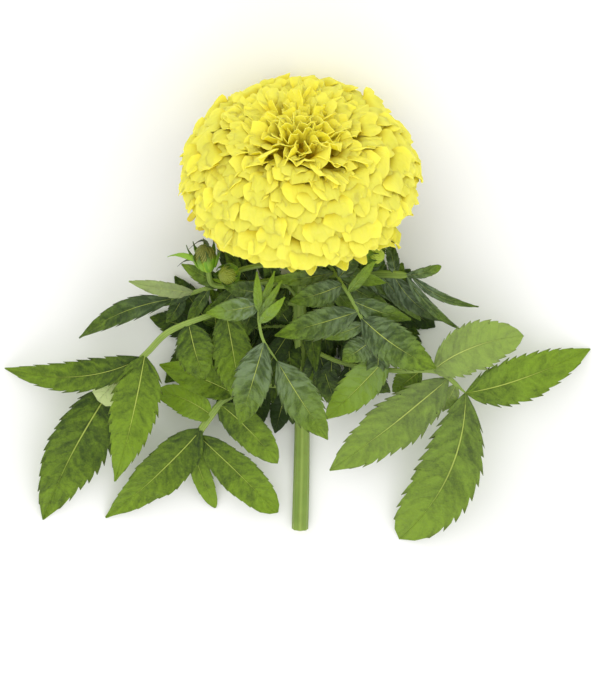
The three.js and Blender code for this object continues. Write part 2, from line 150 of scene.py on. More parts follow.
class Path:
    """A smooth curve through points, read by shares of its length."""

    def __init__(self, points: Sequence[Point], samples: int = 60) -> None:
        """Runs the curve through the points.

        Args:
            points: The points, in millimetres on the plant.
            samples: Points kept for each stretch between two of them.
        """
        knots = np.array(points, dtype=float) * MM
        ends = (2 * knots[0] - knots[1], 2 * knots[-1] - knots[-2])
        ring = np.vstack((ends[0], knots, ends[1]))
        runs = [self._stretch(ring[i : i + 4], samples) for i in range(len(knots) - 1)]
        self.points = np.vstack([*runs, knots[-1:]])
        steps = np.linalg.norm(np.diff(self.points, axis=0), axis=1)
        self.shares = np.concatenate(((0.0,), np.cumsum(steps) / steps.sum()))

    @staticmethod
    def _stretch(knots: Array, samples: int) -> Array:
        """Runs a centripetal Catmull-Rom curve between the middle two of four points.

        Args:
            knots: The four points.
            samples: How many points to make.

        Returns:
            The points, from the second knot to just short of the third.
        """
        gaps = np.sqrt(np.linalg.norm(np.diff(knots, axis=0), axis=1))
        before, here, after = gaps
        a, b, c, d = knots
        leave = ((b - a) / before - (c - a) / (before + here) + (c - b) / here) * here
        enter = ((c - b) / here - (d - b) / (here + after) + (d - c) / after) * here
        t = np.linspace(0, 1, samples, endpoint=False)[:, None]
        return (
            b + leave * t + (3 * (c - b) - 2 * leave - enter) * t**2
            + (2 * (b - c) + leave + enter) * t**3
        )

    def at(self, share: Array) -> Array:
        """Returns points on the curve, one for each share."""
        columns = [np.interp(share, self.shares, self.points[:, k]) for k in range(3)]
        return np.stack(columns, axis=-1)

    def heading(self, share: Array) -> Array:
        """Reads the curve's directions.

        Args:
            share: Shares of its length.

        Returns:
            A unit direction for each share.
        """
        reach = 0.01
        ahead = self.at(np.minimum(np.asarray(share) + reach, 1.0))
        behind = self.at(np.maximum(np.asarray(share) - reach, 0.0))
        return unit(ahead - behind)

    def sides(self, share: Array) -> tuple[Array, Array]:
        """Reads the directions across the curve.

        Args:
            share: Shares of its length.

        Returns:
            For each share a level direction, and the one square to it and to the curve.
        """
        heading = self.heading(share)
        level = unit(np.cross(heading, UP))
        return level, np.cross(level, heading)


# ------------------------------------------------------------------ making pieces


def deselect_all() -> None:
    """Leaves object mode with nothing selected."""
    if bpy.context.object and bpy.context.object.mode != "OBJECT":
        bpy.ops.object.mode_set(mode="OBJECT")
    bpy.ops.object.select_all(action="DESELECT")


def pick(piece: bpy.types.Object) -> None:
    """Selects one piece alone and makes it the active one.

    Args:
        piece: The piece.
    """
    deselect_all()
    piece.select_set(True)
    bpy.context.view_layer.objects.active = piece


def placed(piece: bpy.types.Object) -> Array:
    """Reads the points of a piece's mesh.

    Args:
        piece: The piece.

    Returns:
        Its points, one to a row.
    """
    flat = np.empty(len(piece.data.vertices) * 3)
    piece.data.vertices.foreach_get("co", flat)
    return flat.reshape(-1, 3)


def place(piece: bpy.types.Object, points: Array) -> None:
    """Moves the points of a piece's mesh."""
    piece.data.vertices.foreach_set("co", np.ascontiguousarray(points).ravel())
    piece.data.update()


def mark(piece: bpy.types.Object, name: str, values: Array, domain: str = "POINT") -> None:
    """Writes a named number on every point or face of a piece, for its finish to read.

    Args:
        piece: The piece.
        name: The number's name.
        values: One number for all, or one for each point or face.
        domain: "POINT" or "FACE".
    """
    attribute = piece.data.attributes.get(name)
    if attribute is None:
        attribute = piece.data.attributes.new(name, "FLOAT", domain)
    count = len(attribute.data)
    attribute.data.foreach_set("value", np.broadcast_to(np.asarray(values, dtype=float), count).copy())


def pick_points(piece: bpy.types.Object, chosen: Array) -> None:
    """Leaves only the chosen points of a piece selected, in edit mode.

    Args:
        piece: The piece.
        chosen: Whether each of its points is chosen.
    """
    pick(piece)
    mesh = piece.data
    mesh.polygons.foreach_set("select", np.zeros(len(mesh.polygons), dtype=bool))
    mesh.edges.foreach_set("select", np.zeros(len(mesh.edges), dtype=bool))
    mesh.vertices.foreach_set("select", chosen)
    bpy.ops.object.mode_set(mode="EDIT")


def flat_blank(name: str, across: int, along: int) -> bpy.types.Object:
    """Adds a flat grid from -1 to 1 both ways, to be laid out as a petal, leaflet or tube.

    Args:
        name: Name of the new piece.
        across: Faces along X.
        along: Faces along Y.

    Returns:
        The grid, with a UV map over its whole face.
    """
    deselect_all()
    bpy.ops.mesh.primitive_grid_add(x_subdivisions=across, y_subdivisions=along, size=2.0)
    blank = bpy.context.object
    blank.name = name
    return blank


def lines_of(places: Array, faces: int) -> Array:
    """Returns which line of a flat grid each place from -1 to 1 is on, the first being 0."""
    return np.rint((places + 1) / 2 * faces).astype(int)


def grown_copy(blank: bpy.types.Object, points: Array, **marks: float | Array) -> bpy.types.Object:
    """Copies a blank with its own mesh and lays the copy's points out.

    Args:
        blank: The piece to copy.
        points: Where the copy's points go.
        **marks: Numbers to write on the copy's points.

    Returns:
        The copy.
    """
    copy = bpy.data.objects.new(blank.name, blank.data.copy())
    bpy.context.collection.objects.link(copy)
    place(copy, points)
    for name, values in marks.items():
        mark(copy, name, values)
    return copy


def joined(parts: Sequence[bpy.types.Object], name: str) -> bpy.types.Object:
    """Joins parts into one piece.

    Args:
        parts: The parts, at least one.
        name: Name of the piece.

    Returns:
        The piece.
    """
    deselect_all()
    for part in parts:
        part.select_set(True)
    bpy.context.view_layer.objects.active = parts[0]
    if len(parts) > 1:
        bpy.ops.object.join()
    parts[0].name = name
    parts[0].data.name = name
    return parts[0]


def remove(piece: bpy.types.Object) -> None:
    """Deletes a piece that only served as a blank."""
    bpy.data.objects.remove(piece, do_unlink=True)


def thickened(piece: bpy.types.Object, thickness: float) -> bpy.types.Object:
    """Gives open sheets a thickness and marks which faces are their undersides.

    Args:
        piece: The sheets, whose faces point to their upper side.
        thickness: The thickness, half of it to each side.

    Returns:
        The same piece, closed.
    """
    count = len(piece.data.polygons)
    pick(piece)
    solidify = piece.modifiers.new("thickness", "SOLIDIFY")
    solidify.thickness = thickness
    solidify.offset = 0
    solidify.use_even_offset = False
    bpy.ops.object.modifier_apply(modifier=solidify.name)
    under = np.zeros(len(piece.data.polygons))
    under[count : 2 * count] = 1
    mark(piece, "under", under, "FACE")
    return piece


def tube(name: str, centres: Array, level: Array, across: Array, radii: Array) -> bpy.types.Object:
    """Rolls a grid into a closed tube.

    Args:
        name: Name of the new piece.
        centres: Middle of each ring.
        level: Unit direction of each ring's first side.
        across: Unit direction square to that and to the tube.
        radii: Distance of each point from its ring's middle, one row to a ring.

    Returns:
        The tube, with its seam joined and both ends filled.
    """
    rings, sides = radii.shape
    blank = flat_blank(name, sides, rings - 1)
    flat = placed(blank)
    side = lines_of(flat[:, 0], sides)
    ring = lines_of(flat[:, 1], rings - 1)
    angle = 2 * math.pi * side / sides
    reach = radii[ring, side % sides]
    place(
        blank,
        centres[ring]
        + level[ring] * (reach * np.cos(angle))[:, None]
        + across[ring] * (reach * np.sin(angle))[:, None],
    )
    seam = 1e-7
    pick(blank)
    bpy.ops.object.mode_set(mode="EDIT")
    bpy.ops.mesh.select_all(action="SELECT")
    bpy.ops.mesh.remove_doubles(threshold=seam)
    bpy.ops.mesh.fill_holes(sides=0)
    bpy.ops.mesh.select_all(action="SELECT")
    bpy.ops.mesh.normals_make_consistent(inside=False)
    bpy.ops.object.mode_set(mode="OBJECT")
    return blank


# ------------------------------------------------------------------ finishes


class Tree:
    """A material's nodes, made one after another."""

    def __init__(self, name: str) -> None:
        """Starts a material with a bare surface shader.

        Args:
            name: Name of the material.
        """
        self.material = bpy.data.materials.new(name)
        self.material.use_nodes = True
        self.nodes = self.material.node_tree.nodes
        self.links = self.material.node_tree.links
        self.nodes.clear()
        self.shader = self.nodes.new("ShaderNodeBsdfPrincipled")
        end = self.nodes.new("ShaderNodeOutputMaterial")
        self.links.new(self.shader.outputs["BSDF"], end.inputs["Surface"])

    def give(self, target: bpy.types.NodeSocket, value: object) -> None:
        """Links a socket to another one, or sets it to a value.

        Args:
            target: The socket.
            value: A socket to read, a number, a colour or a vector.
        """
        if isinstance(value, bpy.types.NodeSocket):
            self.links.new(value, target)
        else:
            target.default_value = value

    def mark(self, name: str) -> bpy.types.NodeSocket:
        """Reads a number that was written on the piece.

        Args:
            name: The number's name.

        Returns:
            Its socket, which reads 0 on a piece without the number.
        """
        node = self.nodes.new("ShaderNodeAttribute")
        node.attribute_name = name
        return node.outputs["Fac"]

    def coordinate(self, name: str) -> bpy.types.NodeSocket:
        """Returns the UV or Object coordinates."""
        return self.nodes.new("ShaderNodeTexCoord").outputs[name]

    def part(self, vector: bpy.types.NodeSocket, axis: str) -> bpy.types.NodeSocket:
        """Takes one number out of a vector.

        Args:
            vector: The vector.
            axis: "X", "Y" or "Z".

        Returns:
            The number's socket.
        """
        node = self.nodes.new("ShaderNodeSeparateXYZ")
        self.give(node.inputs[0], vector)
        return node.outputs[axis]

    def vector(self, x: object, y: object, z: object) -> bpy.types.NodeSocket:
        """Puts three numbers together.

        Args:
            x: The first number.
            y: The second number.
            z: The third number.

        Returns:
            The vector's socket.
        """
        node = self.nodes.new("ShaderNodeCombineXYZ")
        for socket, value in zip(node.inputs, (x, y, z)):
            self.give(socket, value)
        return node.outputs[0]

    def stretched(self, vector: bpy.types.NodeSocket, scale: Point) -> bpy.types.NodeSocket:
        """Scales a vector by a factor of its own along each axis.

        Args:
            vector: The vector.
            scale: The three factors.

        Returns:
            The scaled vector's socket.
        """
        node = self.nodes.new("ShaderNodeMapping")
        self.give(node.inputs["Vector"], vector)
        node.inputs["Scale"].default_value = scale
        return node.outputs[0]

    def noise(self, vector: bpy.types.NodeSocket, scale: float, detail: float = 2) -> bpy.types.NodeSocket:
        """Makes soft noise.

        Args:
            vector: Where it is read.
            scale: How fine it is.
            detail: How many finer layers it has.

        Returns:
            The noise's socket, from 0 to 1.
        """
        node = self.nodes.new("ShaderNodeTexNoise")
        self.give(node.inputs["Vector"], vector)
        node.inputs["Scale"].default_value = scale
        node.inputs["Detail"].default_value = detail
        return node.outputs["Fac"]

    def calc(self, operation: str, a: object, b: object = 0.0, c: object = 0.0) -> bpy.types.NodeSocket:
        """Works out a number with a Math node.

        Args:
            operation: The node's operation.
            a: The first number.
            b: The second number, where the operation has one.
            c: The third number, where the operation has one.

        Returns:
            The result's socket.
        """
        node = self.nodes.new("ShaderNodeMath")
        node.operation = operation
        for socket, value in zip(node.inputs, (a, b, c)):
            self.give(socket, value)
        return node.outputs[0]

    def times(self, a: object, b: object) -> bpy.types.NodeSocket:
        """Returns the product of two numbers."""
        return self.calc("MULTIPLY", a, b)

    def times_plus(self, a: object, b: object, c: object) -> bpy.types.NodeSocket:
        """Returns the product of two numbers plus a third."""
        return self.calc("MULTIPLY_ADD", a, b, c)

    def rise(self, value: object, low: float, high: float) -> bpy.types.NodeSocket:
        """Makes a smooth rise from 0 to 1, or a fall where low is above high.

        Args:
            value: The number to read.
            low: Value at which the result is 0.
            high: Value at which the result is 1.

        Returns:
            The result's socket.
        """
        node = self.nodes.new("ShaderNodeMapRange")
        node.interpolation_type = "SMOOTHSTEP"
        self.give(node.inputs["Value"], value)
        node.inputs["From Min"].default_value = low
        node.inputs["From Max"].default_value = high
        return node.outputs["Result"]

    def mixed(self, share: object, a: object, b: object) -> bpy.types.NodeSocket:
        """Mixes two colours.

        Args:
            share: How much of the second there is, from 0 to 1.
            a: The first colour.
            b: The second colour.

        Returns:
            The mixed colour's socket.
        """
        node = self.nodes.new("ShaderNodeMix")
        node.data_type = "RGBA"
        self.give(node.inputs["Factor"], share)
        self.give(node.inputs[6], a)
        self.give(node.inputs[7], b)
        return node.outputs[2]

    def coated(
        self, base: bpy.types.NodeSocket, tint: str, share: object, strength: float = 1.0
    ) -> bpy.types.NodeSocket:
        """Lays a tint over a colour.

        Args:
            base: The colour.
            tint: The tint's six-figure code.
            share: How much of it shows, from 0 to 1.
            strength: Factor on the share.

        Returns:
            The coated colour's socket.
        """
        if strength != 1.0:
            share = self.times(share, strength)
        return self.mixed(share, base, colour(tint))

    def shade(self, **values: object) -> None:
        """Sets the surface shader's sockets, named with _ for a space."""
        for name, value in values.items():
            self.give(self.shader.inputs[name.replace("_", " ")], value)

    def shade_juicy(self, base: bpy.types.NodeSocket, roughness: float) -> None:
        """Gives the surface a colour and the soft shine of juicy green skin.

        Args:
            base: The colour.
            roughness: How dull the shine is.
        """
        self.shade(
            Base_Color=base, Roughness=roughness, Specular_IOR_Level=0.35, Subsurface_Weight=0.1,
            Subsurface_Radius=(0.001, 0.0015, 0.0005), Subsurface_Scale=1.0,
        )

    def bump(self, height: bpy.types.NodeSocket, strength: float, distance: float) -> None:
        """Raises the surface by a height.

        Args:
            height: The height.
            strength: Share of it that shows.
            distance: Metres to a height of 1.
        """
        node = self.nodes.new("ShaderNodeBump")
        node.inputs["Strength"].default_value = strength
        node.inputs["Distance"].default_value = distance
        self.give(node.inputs["Height"], height)
        self.give(self.shader.inputs["Normal"], node.outputs["Normal"])


def colour(code: str) -> tuple[float, float, float, float]:
    """Turns a six-figure code into a colour.

    Args:
        code: Red, green and blue, two hexadecimal figures each.

    Returns:
        The linear colour, opaque.
    """
    parts = [int(code[k : k + 2], 16) / 255 for k in (0, 2, 4)]
    linear = [p / 12.92 if p <= 0.04045 else ((p + 0.055) / 1.055) ** 2.4 for p in parts]
    return (*linear, 1.0)


@dataclass(frozen=True)
class PetalFinish:
    """Lemon petals: painted shade at the throat, deeper underneath, finely streaked lengthwise, gold when
    old.
    """

    name: str = "petal_lemon"
    lemon: str = "faf058"
    sun: str = "f8ea4a"
    rim: str = "f6ee5c"
    # deep yellow of the painted shade towards the petal roots
    throat_shade: str = "e2c92e"
    under: str = "efe03c"
    aged: str = "d29a1c"
    streaks: float = 26.0
    folds: float = 4.0

    def build(self) -> bpy.types.Material:
        """Builds the material.

        Returns:
            The material.
        """
        tree = Tree(self.name)
        uv = tree.coordinate("UV")
        along = tree.part(uv, "Y")
        single = tree.nodes.new("ShaderNodeNewGeometry").outputs["Random Per Island"]
        streak = tree.noise(tree.stretched(uv, (self.streaks, 2.2, 1)), 1.0, 3)
        base = tree.mixed(single, colour(self.lemon), colour(self.sun))
        base = tree.coated(base, self.sun, tree.rise(streak, 0.5, 0.75), 0.25)
        base = tree.coated(base, self.rim, tree.rise(along, 0.6, 1.0), 0.5)
        # painted shade: darker towards the petal's root, where it sinks between the others
        base = tree.coated(base, self.throat_shade, tree.rise(along, 0.66, 0.3))
        base = tree.coated(base, self.under, tree.mark("under"), 0.7)
        tip = tree.times(tree.mark("age"), tree.rise(along, 0.55, 1.0))
        base = tree.coated(base, self.aged, tip)
        tree.shade(
            Base_Color=base, Roughness=0.7, Specular_IOR_Level=0.12, Subsurface_Weight=0.45,
            Subsurface_Radius=(0.0036, 0.0030, 0.0006), Subsurface_Scale=1.0,
        )
        fold = tree.noise(tree.stretched(uv, (self.folds, 1.1, 1)), 1.0, 2)
        tree.bump(tree.times_plus(fold, 2.2, tree.times(streak, 0.5)), 0.35, 0.0009)
        return tree.material


@dataclass(frozen=True)
class CoreShadeFinish:
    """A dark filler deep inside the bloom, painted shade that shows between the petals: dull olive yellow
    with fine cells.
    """

    name: str = "bloom_core_shade"
    olive: str = "b49612"
    dark: str = "84700c"

    def build(self) -> bpy.types.Material:
        """Builds the material.

        Returns:
            The material.
        """
        tree = Tree(self.name)
        cells = tree.noise(tree.coordinate("Object"), 500.0, 3)
        # painted shade: the core is far darker than the petals so that the gaps between them read as shade
        base = tree.mixed(tree.rise(cells, 0.35, 0.65), colour(self.olive), colour(self.dark))
        tree.shade(Base_Color=base, Roughness=0.8, Specular_IOR_Level=0.1)
        tree.bump(cells, 0.6, 0.001)
        return tree.material


@dataclass(frozen=True)
class LeafFinish:
    """Leaflets: fading pale rib, faint side veins with painted shade in the grooves, fine mottling, painted
    grey sheen, dark tooth tips.
    """

    name: str = "leaf_green"
    deep: str = "22350a"
    fresh: str = "76931f"
    # grey of the painted sheen, reflected light laid into the leaf colour
    sheen_grey: str = "748668"
    rib: str = "b4c25c"
    under: str = "9db269"
    pale: str = "cbd996"
    tooth: str = "343812"

    def build(self) -> bpy.types.Material:
        """Builds the material.

        Returns:
            The material.
        """
        tree = Tree(self.name)
        uv = tree.coordinate("UV")
        along = tree.part(uv, "Y")
        out = tree.calc("ABSOLUTE", tree.times_plus(tree.part(uv, "X"), 2.0, -1.0))
        places = tree.coordinate("Object")
        mottle = tree.noise(places, 150.0, 3)
        grain = tree.noise(places, 1500.0, 2)
        pebble = tree.noise(places, 520.0, 2)
        slant = tree.calc("SUBTRACT", along, tree.times(out, 0.17))
        slant = tree.calc("ADD", slant, tree.times(mottle, 0.1))
        veins = tree.times(slant, tree.mark("veins"))
        halves = tree.times_plus(tree.part(uv, "X"), 1.5, tree.times(tree.mark("tone"), 40.0))
        brush = tree.noise(tree.vector(veins, tree.times(out, 0.8), halves), 1.5, 3)
        # the leaf's tone shifts the green; on low leaves it includes painted shade
        lively = tree.calc("ADD", tree.times_plus(along, 0.42, -0.2), tree.mark("tone"))
        for pattern, depth in ((mottle, 0.35), (grain, 0.35), (pebble, 0.4), (brush, 0.8)):
            lively = tree.calc("ADD", lively, tree.times_plus(pattern, depth, -depth / 2))
        base = tree.mixed(tree.rise(lively, 0.0, 1.0), colour(self.deep), colour(self.fresh))
        # painted sheen: a streaky grey coat, strongest towards the leaflet's root, stands in for reflected
        # light
        sheen_share = tree.times(tree.mark("dust"), tree.rise(along, 1.0, 0.15))
        sheen_share = tree.times(sheen_share, tree.times_plus(tree.rise(brush, 0.35, 0.65), 1.2, 0.25))
        base = tree.coated(base, self.sheen_grey, sheen_share)

        ripple = tree.calc("PINGPONG", veins, 0.5)
        inner = tree.rise(out, 0.95, 0.35)
        groove = tree.times(tree.rise(ripple, 0.16, 0.02), inner)
        # painted shade: the colour darkens a little in the recessed vein grooves
        base = tree.coated(base, self.deep, groove, 0.06)
        narrow = tree.times_plus(along, -0.018, 0.027)
        core = tree.calc("DIVIDE", out, tree.calc("MAXIMUM", narrow, 0.007))
        rib = tree.times(tree.rise(core, 1.4, 0.5), tree.rise(along, 0.98, 0.3))
        base = tree.coated(base, self.rib, rib, 0.75)
        base = tree.coated(base, self.tooth, tree.mark("tooth"), 0.8)
        base = tree.coated(base, self.under, tree.mark("under"), 0.75)
        base = tree.coated(base, self.pale, tree.mark("pale"))

        height = tree.times_plus(grain, 0.35, tree.times(groove, -0.15))
        height = tree.times_plus(pebble, 0.9, height)
        height = tree.times_plus(tree.times(ripple, inner), 0.5, height)
        height = tree.calc("SUBTRACT", height, tree.times(tree.rise(core, 2.6, 0.4), 0.9))
        gloss = tree.times_plus(mottle, 0.3, 0.34)
        tree.shade(
            Base_Color=base, Roughness=gloss, Specular_IOR_Level=0.2, Subsurface_Weight=0.06,
            Subsurface_Radius=(0.0006, 0.0012, 0.0003), Subsurface_Scale=1.0,
        )
        tree.bump(height, 0.6, 0.0008)
        return tree.material


@dataclass(frozen=True)
class StalkFinish:
    """Stems, leaf stalks and the calyx: green with faint pale ridges and a fine grain."""

    name: str = "stalk_green"
    deep: str = "52701f"
    pale: str = "a0b655"
    flush: str = "7a6a2a"
    ridges: float = 6.0

    def build(self) -> bpy.types.Material:
        """Builds the material.

        Returns:
            The material.
        """
        tree = Tree(self.name)
        uv = tree.coordinate("UV")
        ripple = tree.calc("PINGPONG", tree.times(tree.part(uv, "X"), self.ridges), 0.5)
        places = tree.coordinate("Object")
        grain = tree.noise(places, 900.0, 3)
        cloud = tree.noise(places, 70.0, 2)
        pale = tree.times_plus(tree.rise(ripple, 0.15, 0.5), 0.25, tree.times(cloud, 0.7))
        base = tree.mixed(pale, colour(self.deep), colour(self.pale))
        base = tree.coated(base, self.flush, tree.rise(grain, 0.5, 0.8), 0.3)
        tree.shade_juicy(base, 0.5)
        tree.bump(tree.times_plus(grain, 0.35, ripple), 0.4, 0.0004)
        return tree.material


@dataclass(frozen=True)
class CutFinish:
    """The fresh cut end of the stem: pale pith inside a green ring."""

    name: str = "stem_cut"
    pith: str = "dfe3b4"
    speck: str = "b6c27c"

    def build(self) -> bpy.types.Material:
        """Builds the material.

        Returns:
            The material.
        """
        tree = Tree(self.name)
        cells = tree.noise(tree.coordinate("Object"), 2600.0, 2)
        base = tree.mixed(tree.rise(cells, 0.4, 0.65), colour(self.pith), colour(self.speck))
        tree.shade(Base_Color=base, Roughness=0.55, Subsurface_Weight=0.2, Subsurface_Scale=0.001)
        tree.bump(cells, 0.4, 0.0003)
        return tree.material


@dataclass(frozen=True)
class BudFinish:
    """Closed buds: ribbed green cups whose tops darken to the olive brown of folded florets."""

    name: str = "bud_green"
    cup: str = "6a981c"
    rib: str = "a9c43a"
    crown: str = "4a4a1c"
    streak: str = "8f8c42"
    young: str = "cfdc58"
    crown_foot: tuple[float, float] = (0.62, 0.74)
    fold_side: tuple[float, float] = (0.28, 0.5)

    def build(self) -> bpy.types.Material:
        """Builds the material.

        Returns:
            The material.
        """
        tree = Tree(self.name)
        uv = tree.coordinate("UV")
        across, along = tree.part(uv, "X"), tree.part(uv, "Y")
        grain = tree.noise(tree.coordinate("Object"), 1100.0, 3)
        ripple = tree.calc("PINGPONG", tree.times(across, 8.0), 0.5)
        cup = tree.mixed(tree.rise(ripple, 0.2, 0.5), colour(self.cup), colour(self.rib))
        swirl = tree.calc("ADD", tree.times(across, 22.0), tree.times(along, 9.0))
        fold = tree.calc("PINGPONG", tree.calc("ADD", swirl, tree.times(grain, 0.4)), 0.5)
        crown = tree.mixed(tree.rise(fold, *self.fold_side), colour(self.crown), colour(self.streak))
        young = tree.mixed(tree.rise(fold, *self.fold_side), colour(self.rib), colour(self.young))
        crown = tree.mixed(tree.mark("ripe"), young, crown)
        edge = tree.times_plus(grain, 0.2, along)
        base = tree.mixed(tree.rise(edge, *self.crown_foot), cup, crown)
        tree.shade_juicy(base, 0.5)
        relief = tree.mixed(tree.rise(edge, *self.crown_foot), ripple, fold)
        tree.bump(tree.times_plus(grain, 0.3, relief), 0.6, 0.0006)
        return tree.material


@dataclass(frozen=True)
class BractFinish:
    """Narrow bracts round the buds: bright at the foot, dark green at the tip, brown where dry."""

    name: str = "bract_green"
    foot: str = "86ae2e"
    tip: str = "3a5216"
    dried: str = "2b2c18"

    def build(self) -> bpy.types.Material:
        """Builds the material.

        Returns:
            The material.
        """
        tree = Tree(self.name)
        uv = tree.coordinate("UV")
        grain = tree.noise(tree.coordinate("Object"), 1100.0, 3)
        share = tree.times_plus(grain, 0.4, tree.part(uv, "Y"))
        base = tree.mixed(tree.rise(share, 0.35, 1.15), colour(self.foot), colour(self.tip))
        streak = tree.noise(tree.stretched(uv, (7, 0.6, 1)), 1.0, 2)
        base = tree.coated(base, self.tip, tree.rise(streak, 0.45, 0.7), 0.35)
        base = tree.coated(base, self.foot, tree.mark("fresh"))
        base = tree.coated(base, self.dried, tree.mark("dry"))
        tree.shade_juicy(base, 0.48)
        tree.bump(streak, 0.5, 0.0005)
        return tree.material


@dataclass(frozen=True)
class FloorFinish:
    """The pale plain surface that the flower lies on."""

    name: str = "pale_floor"
    tint: str = "f4f4f2"
    cloud: str = "efefed"

    def build(self) -> bpy.types.Material:
        """Builds the material.

        Returns:
            The material.
        """
        tree = Tree(self.name)
        cloud = tree.noise(tree.coordinate("Object"), 3.0, 2)
        base = tree.mixed(cloud, colour(self.tint), colour(self.cloud))
        tree.shade(Base_Color=base, Roughness=0.9, Specular_IOR_Level=0.1)
        return tree.material


@dataclass
class Wardrobe:
    """Every finish, built once."""

    petal: bpy.types.Material = field(default_factory=lambda: PetalFinish().build())
    core: bpy.types.Material = field(default_factory=lambda: CoreShadeFinish().build())
    leaf: bpy.types.Material = field(default_factory=lambda: LeafFinish().build())
    stalk: bpy.types.Material = field(default_factory=lambda: StalkFinish().build())
    cut: bpy.types.Material = field(default_factory=lambda: CutFinish().build())
    bud: bpy.types.Material = field(default_factory=lambda: BudFinish().build())
    bract: bpy.types.Material = field(default_factory=lambda: BractFinish().build())
    floor: bpy.types.Material = field(default_factory=lambda: FloorFinish().build())


class Slot(Enum):
    """The record's material slots."""

    PETALS = "petals"
    CALYX = "calyx"
    STEM = "stem"
    LEAVES = "leaves"
    BUDS = "buds"


def dress(
    piece: bpy.types.Object, finish: bpy.types.Material, node: str, crease: float = 50
) -> None:
    """Smooths a piece, gives it its finish and ties it to the solid that it stands for.

    Args:
        piece: The piece.
        finish: Its material, unless it has one by now.
        node: Name of the solid.
        crease: Degrees between two faces above which their edge stays sharp.
    """
    pick(piece)
    bpy.ops.object.shade_smooth_by_angle(angle=math.radians(crease))
    if not piece.data.materials:
        piece.data.materials.append(finish)
    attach(piece, BODY)
    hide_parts(node)
    LOG.info("%s: %d faces", piece.name, len(piece.data.polygons))


# ------------------------------------------------------------------ bloom


@dataclass(frozen=True)
class PetalKind:
    """Measures of a petal; those between two kinds are blended.

    Lengths are in millimetres and angles in degrees. `roll` is how far it leans out from standing
    up, `arc` how far it is rolled into a tube across its width, `lift` how far its rim flares.
    """

    spacing: float
    limb: float
    width: float
    roll: float
    arc: float
    ruffle: float
    lift: float

    def towards(self, other: "PetalKind", share: float) -> "PetalKind":
        """Returns the kind at a share of the way to another."""
        names = self.__dataclass_fields__
        return PetalKind(**{n: blend(getattr(self, n), getattr(other, n), share) for n in names})


class PetalShape(Enum):
    """Outlines of a flat petal.

    Each has its width at its root, shoulders and end, then its end's droop to the corners, the
    depth of its lobes and how many lobes it has.
    """

    FAN = (0.3, 1.0, 0.84, 0.13, 0.03, 3)
    ROUND = (0.34, 1.0, 0.72, 0.26, 0.015, 3)
    LOBED = (0.3, 1.0, 0.88, 0.1, 0.06, 2)
    POINTED = (0.45, 1.0, 0.4, 0.42, 0.0, 3)
    HANGING = (0.5, 1.0, 0.55, 0.26, 0.05, 2)


